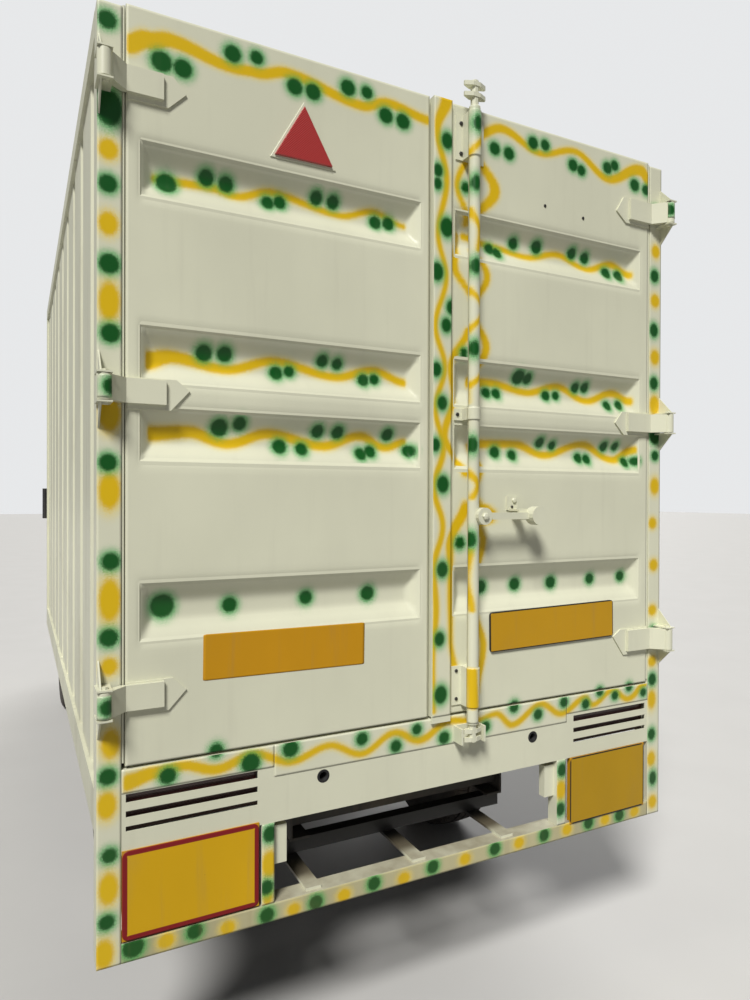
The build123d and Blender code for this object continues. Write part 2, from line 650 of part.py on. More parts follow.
# Fuel tank on the right-hand rail, battery box and silencer on the left
tank_y = (rear_axle_y + 600, rear_axle_y + 1150)
with BuildPart() as fuel_tank:
    block((415, 740), tank_y, (430, 690))
    fillet(fuel_tank.edges().filter_by(Axis.Y), 55)
    for y in (tank_y[0] + 110, tank_y[1] - 110):
        block((rail_outer, 420), (y - 25, y + 25), (rail_low + 20, rail_high - 20))
finish(fuel_tank.part, "fuel_tank")

with BuildPart() as battery_box:
    block((-720, -415), (rear_axle_y + 1130, rear_axle_y + 1430), (450, 690))
    fillet(battery_box.edges().filter_by(Axis.Z), 15)
    block((-420, -rail_outer), (rear_axle_y + 1180, rear_axle_y + 1380), (rail_low + 20, rail_high - 40))
finish(battery_box.part, "battery_box")

silencer_z = 500
with BuildPart() as silencer:
    for start, stop, radius in ((480, 570, 24), (560, 1000, 75), (990, 1080, 24)):
        flat_rod((-490, rear_axle_y + start, silencer_z), (-490, rear_axle_y + stop, silencer_z), radius, 12)
    for y in (rear_axle_y + 640, rear_axle_y + 920):
        block((-440, -rail_outer), (y - 15, y + 15), (silencer_z + 35, silencer_z + 65))
finish(silencer.part, "silencer")

# Cab: one closed form from its side, plan and front outlines, used again at several insets
cab_wall = 45
arch_radius = 440
cab_low = 570
waist_z = 1230
roof_half = 742
arch_foot = math.sqrt(arch_radius ** 2 - (cab_low - tyre_radius) ** 2)
screen_base = (690, waist_z)
screen_top = (440, 1935)
# Side outline ahead of the front axle, anticlockwise from the rear wheel-arch foot: y, z, corner radius
side_points = [(-cab_back, cab_low, 0), (-cab_back, 1945, 70), (-560, 2005, 70), (60, 2020, 0), (385, 1990, 90),
               (*screen_top, 60), (*screen_base, 90), (890, 1135, 70), (950, 1085, 0), (cab_nose, 1030, 0), (cab_nose, cab_low, 0)]


def cab_form(inset):
    """Solid inside the cab's outer skin, moved inwards by inset."""
    with BuildPart() as form:
        with BuildSketch(Plane.YZ) as side_outline:
            with BuildLine() as side_line:
                Polyline((front_axle_y - arch_foot, cab_low), *[(front_axle_y + y, z) for y, z, radius in side_points],
                         (front_axle_y + arch_foot, cab_low))
                ThreePointArc((front_axle_y + arch_foot, cab_low), (front_axle_y, tyre_radius + arch_radius),
                              (front_axle_y - arch_foot, cab_low))
            make_face()
            for y, z, radius in side_points:
                if radius:
                    corner = side_outline.vertices().sort_by_distance((front_axle_y + y, z, 0))[0]
                    fillet(corner, radius)
            if inset:
                offset(amount=-inset, kind=Kind.INTERSECTION)
        extrude(amount=cab_half, both=True)
        with BuildSketch(Plane.XY) as plan_outline:
            with Locations((0, front_axle_y + (cab_nose - cab_back) / 2)):
                Rectangle(cab_width - 2 * inset, cab_nose + cab_back - 2 * inset)
            fillet(plan_outline.vertices().group_by(Axis.Y)[-1], 180 - inset)
            fillet(plan_outline.vertices().group_by(Axis.Y)[0], 60 - inset)
        extrude(amount=2500, mode=Mode.INTERSECT)
        with BuildSketch(Plane.XZ.offset(-(front_axle_y + 1200))) as front_outline:
            with BuildLine():
                Polyline((-cab_half + inset, 400), (-cab_half + inset, waist_z), (-roof_half + inset, 2030),
                         (roof_half - inset, 2030), (cab_half - inset, waist_z), (cab_half - inset, 400), close=True)
            make_face()
            fillet(front_outline.vertices().group_by(Axis.Y)[-1], 130 - inset)
        extrude(amount=2200, mode=Mode.INTERSECT)
    return form.part


outer_form = cab_form(0)
tunnel_half = 400
tunnel_high = rail_high + 30
hump_half = 290
hump_high = 1030
hump_front = 500

# Room inside the cab, above the rails' tunnel and the engine hump
with BuildPart() as cab_room:
    add(cab_form(cab_wall))
    block((-tunnel_half - cab_wall, tunnel_half + cab_wall), (front_axle_y - 700, front_axle_y + 1000),
          (cab_low - 50, tunnel_high + cab_wall), Mode.SUBTRACT)
    block((-hump_half, hump_half), (front_axle_y - 700, front_axle_y + hump_front), (tunnel_high, hump_high), Mode.SUBTRACT)

# Outlines seen from the side: y ahead of the front axle, z
door_points = [(-570, 850), (-570, 1925), (335, 1925), (560, 1330), (560, 850)]
window_points = [(-485, 1285), (-485, 1840), (275, 1840), (490, 1285)]
# Windscreen opening in its own plane: half width, distance up from its middle
screen_points = [(-690, -290), (690, -290), (640, 285), (-640, 285)]
screen_low = Vector(0, front_axle_y + screen_base[0], screen_base[1])
screen_high = Vector(0, front_axle_y + screen_top[0], screen_top[1])
screen_normal = (screen_high - screen_low).cross(Vector(1, 0, 0)) * -1
screen_plane = Plane(origin=(screen_low + screen_high) / 2, x_dir=(1, 0, 0), z_dir=screen_normal)


def side_prism(points, grow, radius):
    """Prism through the right-hand side wall from an outline seen from the side."""
    with BuildPart() as prism:
        with BuildSketch(Plane.YZ.offset(600)) as outline:
            with BuildLine():
                Polyline(*[(front_axle_y + y, z) for y, z in points], close=True)
            make_face()
            if grow:
                offset(amount=grow, kind=Kind.INTERSECTION)
            if radius:
                fillet(outline.vertices(), radius)
        extrude(amount=400)
    return prism.part


with BuildPart() as screen_prisms:
    with BuildSketch(screen_plane) as screen_outline:
        with BuildLine():
            Polyline(*screen_points, close=True)
        make_face()
        fillet(screen_outline.vertices(), 60)
    extrude(amount=120, both=True)
    with BuildSketch(Plane.XZ.offset(-(front_axle_y - cab_back + 120))) as back_outline:
        with Locations((0, 1620)):
            RectangleRounded(1000, 360, 50)
    extrude(amount=200)

door_opening = side_prism(door_points, door_gap, 0)
window_opening = side_prism(window_points, 0, 50)
grille_z = (840, 1010)
grille_half = 440
lamp_x = 590
lamp_z = 920
lamp_radius = 82
lamp_recess = 40

with BuildPart() as cab_shell:
    add(outer_form)
    add(cab_room.part, mode=Mode.SUBTRACT)
    block((-tunnel_half, tunnel_half), (front_axle_y - 700, rail_front + 5), (cab_low - 50, tunnel_high), Mode.SUBTRACT)
    block((-hump_half + 30, hump_half - 30), (front_axle_y - 700, front_axle_y + hump_front - 30),
          (cab_low, hump_high - 30), Mode.SUBTRACT)
    add(door_opening, mode=Mode.SUBTRACT)
    add(mirror(door_opening, about=Plane.YZ, mode=Mode.PRIVATE), mode=Mode.SUBTRACT)
    add(screen_prisms.part, mode=Mode.SUBTRACT)
    block((-grille_half, grille_half), (nose_y - 25, nose_y + 10), grille_z, Mode.SUBTRACT)
    for side in sides:
        rod((side * lamp_x, nose_y - lamp_recess, lamp_z), (side * lamp_x, nose_y + 10, lamp_z), lamp_radius + 3, Mode.SUBTRACT)
finish(cab_shell.part, "cab_shell")

# Cab doors: the side wall inside the door outline, with the window cut and two hinge barrels
hinge_heights = (930, 1150)
door_hinge_y = 551
with BuildPart() as cab_door_right:
    add(outer_form)
    add(cab_room.part, mode=Mode.SUBTRACT)
    add(side_prism(door_points, 0, 0), mode=Mode.INTERSECT)
    add(window_opening, mode=Mode.SUBTRACT)
    for z in hinge_heights:
        rod((cab_half + 2, front_axle_y + door_hinge_y, z), (cab_half + 2, front_axle_y + door_hinge_y, z + 70), 8)
finish(cab_door_right.part, "cab_door_right")
with BuildPart() as cab_door_left:
    mirror(cab_door_right.part, about=Plane.YZ)
finish(cab_door_left.part, "cab_door_left")

# Glass: a thin layer of the cab's form inside each opening
glass_outer = cab_form(14)
glass_inner = cab_form(20)
with BuildPart() as cab_glass:
    add(glass_outer)
    add(glass_inner, mode=Mode.SUBTRACT)
    add(screen_prisms.part, mode=Mode.INTERSECT)
finish(cab_glass.part, "cab_glass")
with BuildPart() as door_glass_right:
    add(glass_outer)
    add(glass_inner, mode=Mode.SUBTRACT)
    add(window_opening, mode=Mode.INTERSECT)
finish(door_glass_right.part, "door_glass_right")
with BuildPart() as door_glass_left:
    mirror(door_glass_right.part, about=Plane.YZ)
finish(door_glass_left.part, "door_glass_left")

# Door mirrors, folded in beside the windows, on two short arms each
mirror_low = 1350
mirror_high = 1580
mirror_y = front_axle_y + 470
with BuildPart() as mirror_right:
    with BuildSketch(Plane.XY.offset(mirror_low)) as mirror_plan:
        with Locations(Location((858, mirror_y), 125)):
            Rectangle(140, 38)
        chamfer(mirror_plan.vertices(), 12)
    extrude(amount=mirror_high - mirror_low)
    for z in (mirror_low + 20, mirror_high - 20):
        flat_rod((cab_half - 60, mirror_y + 30, z), (862, mirror_y, z), 9, 6)
    add(outer_form, mode=Mode.SUBTRACT)
finish(mirror_right.part, "mirror_right")
with BuildPart() as mirror_left:
    mirror(mirror_right.part, about=Plane.YZ)
finish(mirror_left.part, "mirror_left")

# Grille: frame with level slats
slat_count = 4
with BuildPart() as grille:
    with BuildSketch(Plane.XZ.offset(-(nose_y - 3))) as grille_outline:
        with Locations((0, sum(grille_z) / 2)):
            Rectangle(2 * grille_half, grille_z[1] - grille_z[0])
            Rectangle(2 * grille_half - 36, grille_z[1] - grille_z[0] - 36, mode=Mode.SUBTRACT)
            with GridLocations(0, 28, 1, slat_count):
                Rectangle(2 * grille_half - 30, 12)
    extrude(amount=-18)
finish(grille.part, "grille")

# Headlamps: round lenses with rolled rims
with BuildPart() as headlamps:
    for side in sides:
        flat_rod((side * lamp_x, nose_y - lamp_recess, lamp_z), (side * lamp_x, nose_y + 14, lamp_z), lamp_radius, 32)
finish(headlamps.part, "headlamps")

# Front bumper: bowed channel on two irons from the rails
bumper_y = nose_y + bumper_proud
bumper_z = (375, 560)
bumper_thick = 8
wing_back = nose_y - 110
with BuildPart() as front_bumper:
    with BuildSketch(Plane.XY.offset(bumper_z[0])) as bow:
        for inset, mode in ((0, Mode.ADD), (bumper_thick, Mode.SUBTRACT)):
            with BuildLine():
                Polyline((-cab_half + inset, wing_back), (-cab_half + inset, bumper_y - 100), (-cab_half + 90, bumper_y - inset),
                         (cab_half - 90, bumper_y - inset), (cab_half - inset, bumper_y - 100), (cab_half - inset, wing_back),
                         close=True)
            make_face(mode=mode)
    extrude(amount=bumper_z[1] - bumper_z[0])
    for side in sides:
        block((side * (rail_middle - 28), side * (rail_middle + 28)), (rail_front - 30, bumper_y - bumper_thick),
              (bumper_z[0] + 60, rail_low))
finish(front_bumper.part, "front_bumper")

# Dashboard with the steering column's outer tube
wheel_centre = Vector(380, front_axle_y + 290, 1375)
column_foot = Vector(380, front_axle_y + 672, 775)
column_way = (wheel_centre - column_foot).normalized()
shaft_length = 100
dash_points = [(460, 1080), (400, 1190), (420, 1265), (625, 1235), (625, 1080)]         # y ahead of the front axle, z
with BuildPart() as dashboard:
    with BuildSketch(Plane.YZ.offset(-720)) as dash_profile:
        with BuildLine():
            Polyline(*[(front_axle_y + y, z) for y, z in dash_points], close=True)
        make_face()
    extrude(amount=1440)
    flat_rod(column_foot, wheel_centre - column_way * shaft_length, 24)
finish(dashboard.part, "dashboard")

# Steering wheel: rim, three spokes, boss and the shaft's free end
wheel_radius = 200
with BuildPart() as steering_wheel:
    rod(wheel_centre - column_way * (shaft_length - 2), wheel_centre, 14)
    wheel_plane = Plane(origin=wheel_centre - column_way * 12, x_dir=(1, 0, 0), z_dir=column_way)
    with BuildSketch(wheel_plane) as spokes:
        Circle(42)
        Rectangle(2 * wheel_radius, 30)
        with Locations((0, -wheel_radius / 2)):
            Rectangle(30, wheel_radius)
    extrude(amount=14)
    with BuildSketch(wheel_plane) as rim_ring:
        RegularPolygon(wheel_radius + 13, 32)
        RegularPolygon(wheel_radius - 13, 32, mode=Mode.SUBTRACT)
    extrude(amount=24)
finish(steering_wheel.part, "steering_wheel")

# Seats: cushion and backrest for the driver, a wider pair for two passengers
seat_front = front_axle_y + 50
seat_back = front_axle_y - 425
with BuildPart() as seats:
    for x_pair in ((110, 700), (-700, 70)):
        block(x_pair, (seat_back, seat_front), (hump_high, hump_high + 135))
        block(x_pair, (front_axle_y - 560, seat_back - 2), (hump_high, 1700))
    fillet(seats.edges().filter_by(Axis.X).group_by(Axis.Z)[-1], 40)
finish(seats.part, "seats")
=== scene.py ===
import math

import bpy
import numpy as np
from mathutils import Matrix, Vector


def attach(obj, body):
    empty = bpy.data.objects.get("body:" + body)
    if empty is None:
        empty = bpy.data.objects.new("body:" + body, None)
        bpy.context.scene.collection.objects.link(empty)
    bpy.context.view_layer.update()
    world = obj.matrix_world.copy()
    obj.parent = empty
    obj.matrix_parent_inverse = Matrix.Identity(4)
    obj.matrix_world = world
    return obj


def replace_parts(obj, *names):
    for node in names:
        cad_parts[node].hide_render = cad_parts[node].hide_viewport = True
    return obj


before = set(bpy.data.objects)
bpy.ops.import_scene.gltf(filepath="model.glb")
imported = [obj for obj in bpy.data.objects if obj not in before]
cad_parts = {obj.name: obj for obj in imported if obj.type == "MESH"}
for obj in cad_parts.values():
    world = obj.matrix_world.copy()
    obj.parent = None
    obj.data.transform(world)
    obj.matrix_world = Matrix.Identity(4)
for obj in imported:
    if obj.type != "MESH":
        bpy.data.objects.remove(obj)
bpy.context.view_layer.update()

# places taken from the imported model: metres, rear doors face -Y
place = {
    "rearFace": -2.385, "barLow": 0.430, "frontAxle": 1.435, "rearAxle": -1.265, "wheelHeight": 0.350,
    "trackHalf": 0.700, "nose": 2.410, "cabHalf": 0.810,
}
rearFace, low, axle = place["rearFace"], place["barLow"], place["frontAxle"]
bothSides = (("left", -1), ("right", 1))
xWay, yWay, zWay = np.eye(3)


def gridQuads(rows, columns, wrapRows=False, wrapColumns=False):
    # quads of a rows x columns grid, joined round where wrapped
    index = np.arange(rows * columns).reshape(rows, columns)
    if wrapRows:
        index = np.vstack([index, index[:1]])
    if wrapColumns:
        index = np.hstack([index, index[:, :1]])
    return np.stack([index[:-1, :-1], index[1:, :-1], index[1:, 1:], index[:-1, 1:]], -1).reshape(-1, 4)


def facedOut(points, faces):
    # signed volume of fans over the faces of a closed form; where it is negative every face is turned round
    volume = sum(np.einsum("ij,ij->", points[f[:, 0]], np.cross(points[f[:, k]], points[f[:, k + 1]]))
                 for f in faces for k in range(1, f.shape[1] - 1))
    return [f[:, ::-1] for f in faces] if volume < 0 else faces


def addPiece(name, shape, body, finish, smooth=True, masks=None):
    # points (n, 3) and a list of face index arrays become one mesh that rides on a body
    points, faces = shape[0], facedOut(*shape)
    sizes = np.concatenate([np.full(len(f), f.shape[1]) for f in faces])
    corners = np.concatenate([f.ravel() for f in faces]).astype(np.int32)
    mesh = bpy.data.meshes.new(name)
    mesh.vertices.add(len(points))
    mesh.vertices.foreach_set("co", points.astype(np.float32).ravel())
    mesh.loops.add(len(corners))
    mesh.loops.foreach_set("vertex_index", corners)
    mesh.polygons.add(len(sizes))
    mesh.polygons.foreach_set("loop_start", (np.cumsum(sizes) - sizes).astype(np.int32))
    mesh.polygons.foreach_set("use_smooth", np.full(len(sizes), smooth))
    mesh.update(calc_edges=True)
    mesh.validate()
    for maskName, values in (masks or {}).items():
        mesh.attributes.new(maskName, "FLOAT", "POINT").data.foreach_set("value", values.astype(np.float32))
    mesh.materials.append(finish)
    piece = bpy.data.objects.new(name, mesh)
    bpy.context.scene.collection.objects.link(piece)
    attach(piece, body)
    return piece


def closedSheet(front, back):
    # two matching (rows, columns, 3) grids, back to back, with their rims joined
    rows, columns = front.shape[:2]
    quads, count = gridQuads(rows, columns), rows * columns
    index = np.arange(count).reshape(rows, columns)
    rim = np.concatenate([index[0, :], index[1:, -1], index[-1, -2::-1], index[-2:0:-1, 0]])
    after = np.roll(rim, -1)
    edges = np.stack([rim, rim + count, after + count, after], -1)
    return np.concatenate([front.reshape(-1, 3), back.reshape(-1, 3)]), [quads[:, ::-1], quads + count, edges]


def tube(rings, loop=False):
    # (n, m, 3) rings joined each to the next, with flat ends unless the last one joins the first
    n, m = rings.shape[:2]
    faces = [gridQuads(n, m, wrapRows=loop, wrapColumns=True)]
    if not loop:
        faces += [np.arange(m)[None], np.arange(m)[None, ::-1] + (n - 1) * m]
    return rings.reshape(-1, 3), faces


def sweep(path, section, loop=False):
    # section (m, 2) carried along path (n, 3): first column across, second along the frame's up direction
    ahead = np.roll(path, -1, 0) - np.roll(path, 1, 0)
    if not loop:
        ahead[0], ahead[-1] = path[1] - path[0], path[-1] - path[-2]
    ahead /= np.linalg.norm(ahead, axis=1, keepdims=True)
    across = np.cross(ahead, np.where(np.abs(ahead[:, 2:3]) > 0.9, yWay, zWay))
    across /= np.linalg.norm(across, axis=1, keepdims=True)
    up = np.cross(across, ahead)
    return tube(path[:, None] + across[:, None] * section[:, :1] + up[:, None] * section[:, 1:], loop)


def circle(radius, count, squash=1.0):
    # ring of points: radius times cosine and sine of equal steps
    turn = np.linspace(0, 2 * math.pi, count, endpoint=False)
    return np.stack([radius * np.cos(turn), radius * squash * np.sin(turn)], -1)


def lathe(profile, centre, way, count, loop=True):
    # (distance along way, radius) profile turned about that way through centre; an open one gets flat ends
    way, profile = np.asarray(way, float), np.asarray(profile, float)
    side = np.cross(way, zWay if abs(way[2]) < 0.9 else yWay)
    side /= np.linalg.norm(side)
    turn = np.linspace(0, 2 * math.pi, count, endpoint=False)[:, None, None]
    spoke = np.cos(turn) * side + np.sin(turn) * np.cross(way, side)
    points = np.asarray(centre) + profile[:, :1] * way + profile[:, 1:] * spoke
    m = len(profile)
    faces, start = [gridQuads(count, m, wrapRows=True, wrapColumns=loop)], np.arange(count) * m
    if not loop:
        faces += [start[None, ::-1], (start + m - 1)[None]]
    return points.reshape(-1, 3), faces


def prism(outline, start, end, axis):
    # outline (m, 2) of the two other axes, drawn out along axis from start to end
    return tube(np.stack([np.insert(outline, "xyz".index(axis), level, axis=1) for level in (start, end)]))


def joined(parts):
    # several (points, faces) shapes as one, each facing outward
    faces, count = {}, 0
    for points, partFaces in parts:
        for f in facedOut(points, partFaces):
            faces.setdefault(f.shape[1], []).append(f + count)
        count += len(points)
    return np.concatenate([points for points, _ in parts]), [np.concatenate(f) for f in faces.values()]


def roundedOutline(x0, x1, z0, z1, radius):
    # rectangle with quarter circles at its corners, anticlockwise
    left, right, bottom, top = x0 + radius, x1 - radius, z0 + radius, z1 - radius
    corners = ((right, top), (left, top), (left, bottom), (right, bottom))
    angles = [np.linspace(0, math.pi / 2, 5) + k * math.pi / 2 for k in range(4)]
    return np.concatenate([np.stack([cx + radius * np.cos(angle), cz + radius * np.sin(angle)], -1)
                           for (cx, cz), angle in zip(corners, angles)])


def softEdge(piece, width, segments=2):
    # small rounded edge, as on pressed or cast metal
    bevel = piece.modifiers.new("edge", "BEVEL")
    bevel.width, bevel.segments, bevel.limit_method, bevel.angle_limit = width, segments, "ANGLE", math.radians(35)


def dome(centre, normal, radius, height, sides=6):
    # bolt head: flat-sided skirt under a low crown
    rings = [(0.0, radius), (height * 0.6, radius), (height * 0.85, radius * 0.8), (height, radius * 0.25)]
    return lathe(rings, centre, normal, sides, loop=False)


# skins over painted CAD faces: spacing of their grids, how far they stand off and how thick they are
skin = {"fine": 0.0055, "coarse": 0.016, "off": 0.0011, "thick": 0.0009}


def gridLines(start, stop, bands):
    # spacing of grid lines: fine inside the listed bands, coarse elsewhere
    edges = sorted({start, stop, *[e for band in bands for e in band if start < e < stop]})
    lines = [np.array([start])]
    for a, b in zip(edges, edges[1:]):
        step = skin["fine"] if any(bottom <= (a + b) / 2 <= top for bottom, top in bands) else skin["coarse"]
        lines.append(np.linspace(a, b, max(1, math.ceil((b - a) / step)) + 1)[1:])
    return np.concatenate(lines)


def softClip(t, sharp=9.0):
    # ramp from 0 to 1 with rounded ends: difference of two softplus curves
    return (np.logaddexp(0, sharp * t) - np.logaddexp(0, sharp * (t - 1))) / sharp


# sprayed marks: softness of the firm core, then the halo's share, reach and softness for lines and for dots
spray = {"firm": 0.0032, "line": (0.42, 0.007, 0.0042), "dot": (0.52, 0.0105, 0.0055), "haloGrow": 1.20,
         "dotGrow": 1.12, "lineEnd": 0.012}


def sprayed(away, core, mist, reach, softness):
    # paint strength at a distance from a mark's middle: firm core and a wide faint halo, both S-shaped
    firm = 1 / (1 + np.exp(np.clip((away - core) / spray["firm"], -40, 40)))
    haze = 1 / (1 + np.exp(np.clip((away - core * spray["haloGrow"] - reach) / softness, -40, 40)))
    return (1 - mist) * firm + mist * haze


def sprayLine(x, z, knots, half):
    # sprayed line through knots (x, z in millimetres, width scale), eased by a half cosine from each to the next
    knots = np.array(knots, float) / (1000, 1000, 1)
    t = np.clip(np.searchsorted(knots[:, 0], x) - 1, 0, len(knots) - 2)
    a, b = knots[t], knots[t + 1]
    share = np.clip((x - a[..., 0]) / (b[..., 0] - a[..., 0]), 0, 1)
    height = a[..., 1] + (b[..., 1] - a[..., 1]) * ((1 - np.cos(math.pi * share)) / 2)
    slope = (b[..., 1] - a[..., 1]) * math.pi / 2 * np.sin(math.pi * share) / (b[..., 0] - a[..., 0])
    width = half / 1000 * (a[..., 2] + (b[..., 2] - a[..., 2]) * share)
    ends = [np.clip(past / spray["lineEnd"] + 0.5, 0, 1) for past in (x - knots[0, 0], knots[-1, 0] - x)]
    return sprayed(np.abs(z - height) / np.sqrt(1 + slope ** 2), width, *spray["line"]) * (ends[0] * ends[1])


def sprayDots(x, z, dots, radius, stretch=1.0):
    # sprayed dots (x, z in millimetres, size, a tall one's own stretch): distance with z divided by the stretch
    mask = np.zeros_like(x)
    for dotX, dotZ, size, *tall in dots:
        away = np.sqrt((x - dotX / 1000) ** 2 + ((z - dotZ / 1000) / (tall[0] if tall else stretch)) ** 2)
        mask = np.maximum(mask, sprayed(away, radius / 1000 * size * spray["dotGrow"], *spray["dot"]))
    return mask


def sprayMasks(x, z, lines=(), wander=(), greens=(), yellows=()):
    # strongest mark of each colour at every grid point, for a sheet's front and again for its back
    marks = {"yellow": [sprayLine(x, z, *line) for line in lines] + [sprayLine(z, x, *line) for line in wander]
             + [sprayDots(x, z, *spots) for spots in yellows], "green": [sprayDots(x, z, *spots) for spots in greens]}
    return {colour: np.tile(np.max([np.zeros_like(x)] + layers, 0).ravel(), 2) for colour, layers in marks.items()}


# shared effects as node groups; each gives only masks, values and normals
def feed(tree, target, inputs):
    # each input gets a link where a socket is given, and otherwise the value
    for key, value in inputs.items():
        if isinstance(value, bpy.types.NodeSocket):
            tree.links.new(value, target.inputs[key])
        else:
            target.inputs[key].default_value = value
    return target


def node(tree, kind, inputs, **settings):
    # new shader node: settings first, since they decide which sockets it has
    made = tree.nodes.new("ShaderNode" + kind)
    for key, value in settings.items():
        setattr(made, key, value)
    return feed(tree, made, inputs)


def newGroup(name, outputs, **inputs):
    # group of plain number sockets: inputs by name with their defaults, outputs by name
    group = bpy.data.node_groups.new(name, "ShaderNodeTree")
    for label, value in inputs.items():
        group.interface.new_socket(name=label, in_out="INPUT", socket_type="NodeSocketFloat").default_value = value
    for label in outputs:
        group.interface.new_socket(name=label, in_out="OUTPUT", socket_type="NodeSocketFloat")
    return group, group.nodes.new("NodeGroupInput").outputs, group.nodes.new("NodeGroupOutput")


def maths(tree, operation, first, second=0.0, third=0.0, clamp=False):
    # one arithmetic step on numbers or sockets
    return node(tree, "Math", {0: first, 1: second, 2: third}, operation=operation, use_clamp=clamp).outputs[0]


def smoothRange(tree, value, low, high, toLow=0.0, toHigh=1.0):
    # S-shaped ramp: 3 t^2 - 2 t^3 while the value runs from low to high
    span = {"Value": value, "From Min": low, "From Max": high, "To Min": toLow, "To Max": toHigh}
    return node(tree, "MapRange", span, interpolation_type="SMOOTHSTEP").outputs[0]


def blended(tree, factor, first, second, mode="MIX"):
    # first colour times (1 - factor) plus the second, or their product, times the factor
    return node(tree, "Mix", {0: factor, 6: first, 7: second}, data_type="RGBA", blend_type=mode).outputs[2]


def objectPoint(tree):
    # place on the object, in metres
    return node(tree, "TexCoord", {}).outputs["Object"]


def part(tree, vector, k):
    # one coordinate of a vector: 0 across, 1 along, 2 up
    return node(tree, "SeparateXYZ", {0: vector}).outputs[k]


def noise(tree, scale, detail, stretch=(1, 1, 1), rough=0.55):
    # noise on object coordinates, drawn out along an axis by the stretch triple
    mapped = node(tree, "Mapping", {"Vector": objectPoint(tree), "Scale": stretch}).outputs[0]
    inputs = {"Vector": mapped, "Scale": scale, "Detail": detail, "Roughness": rough}
    return node(tree, "TexNoise", inputs).outputs["Fac"]


def bumped(tree, height, strength, distance):
    # normal tilted by the slope of a height
    return node(tree, "Bump", {"Height": height, "Strength": strength, "Distance": distance}).outputs[0]


# speckled edge of sprayed paint: a mask roughened by fine grain
sprayGroup, gin, gout = newGroup("sprayed paint edge", ["Mask"], Mask=0.0, Grain=520.0)
grain = {"Vector": objectPoint(sprayGroup), "Scale": gin["Grain"], "Detail": 2.0}
speck = node(sprayGroup, "TexNoise", grain).outputs["Fac"]
between = maths(sprayGroup, "MULTIPLY", gin["Mask"], maths(sprayGroup, "SUBTRACT", 1.0, gin["Mask"]))
rough = maths(sprayGroup, "MULTIPLY_ADD", maths(sprayGroup, "MULTIPLY_ADD", speck, 3.4, -1.7), between, gin["Mask"])
feed(sprayGroup, gout, {"Mask": smoothRange(sprayGroup, rough, 0.02, 0.90)})

# dirt that runs down from joints, gathers near the ground and in patches
grimeGroup, gin, gout = newGroup("road grime", ["Mask"], Streaks=0.5, Patches=0.4, Splash=0.6, Height=0.9)
patch = noise(grimeGroup, 3.1, 6.0, (1.0, 1.0, 0.8), 0.62)
nearGround = maths(grimeGroup, "DIVIDE", part(grimeGroup, objectPoint(grimeGroup), 2), gin["Height"], clamp=True)
splash = maths(grimeGroup, "MULTIPLY", maths(grimeGroup, "SUBTRACT", 1.0, nearGround), gin["Splash"])
run = smoothRange(grimeGroup, noise(grimeGroup, 9.0, 5.0, (3.2, 3.2, 0.22)), 0.52, 0.78)
runMask = maths(grimeGroup, "MULTIPLY", run, gin["Streaks"])
patchMask = maths(grimeGroup, "MULTIPLY", smoothRange(grimeGroup, patch, 0.5, 0.75), gin["Patches"])
spread = maths(grimeGroup, "MULTIPLY", splash, maths(grimeGroup, "MULTIPLY_ADD", patch, 0.9, 0.25))
marked = maths(grimeGroup, "MAXIMUM", runMask, patchMask)
feed(grimeGroup, gout, {"Mask": maths(grimeGroup, "ADD", spread, marked, clamp=True)})

# small chips and rust freckles
chipGroup, gin, gout = newGroup("chips", ["Mask"], Scale=60.0, Share=0.3)
fleck = node(chipGroup, "TexNoise", {"Vector": objectPoint(chipGroup), "Scale": gin["Scale"], "Detail": 4.0,
                                     "Roughness": 0.7}).outputs["Fac"]
edge = maths(chipGroup, "MULTIPLY_ADD", gin["Share"], -0.30, 0.90)
level = maths(chipGroup, "SUBTRACT", maths(chipGroup, "MULTIPLY_ADD", noise(chipGroup, 2.3, 2.0), 0.25, fleck), edge)
feed(chipGroup, gout, {"Mask": smoothRange(chipGroup, level, 0.0, 0.03)})

# uneven brushed or sprayed enamel: a height and a slow shade change
enamelGroup, gin, gout = newGroup("enamel skin", ["Height", "Shade"], Grain=1.0)
waver = maths(enamelGroup, "MULTIPLY", noise(enamelGroup, 7.0, 2.0), 3.0)
peel = noise(enamelGroup, 420.0, 1.0)
feed(enamelGroup, gout, {"Height": maths(enamelGroup, "MULTIPLY_ADD", peel, gin["Grain"], waver),
                         "Shade": smoothRange(enamelGroup, noise(enamelGroup, 1.6, 4.0, (1, 1, 0.6)), 0.3, 0.7)})


def newMaterial(name, **inputs):
    # material, its tree and its shader; inputs by name, their spaces written as underscores
    material = bpy.data.materials.new(name)
    material.use_nodes = True
    shader = material.node_tree.nodes["Principled BSDF"]
    feed(material.node_tree, shader, {key.replace("_", " "): value for key, value in inputs.items()})
    return material, material.node_tree, shader


# mask's name: halo colour, core colour, mask value where the core starts and where it is full
tints = {"yellow": ((0.80, 0.62, 0.12, 1), (0.70, 0.455, 0.006, 1), 0.45, 0.95),
         "green": ((0.02, 0.36, 0.075, 1), (0.0, 0.074, 0.006, 1), 0.70, 1.0)}
wear = {"chipScale": 70.0, "chipTone": (0.10, 0.045, 0.02, 1), "chipDepth": -1.5, "dirtTone": 0.75,
        "dirtRoughness": 0.45, "darker": 1.2, "bumpDistance": 0.002, "markGloss": 1.38}


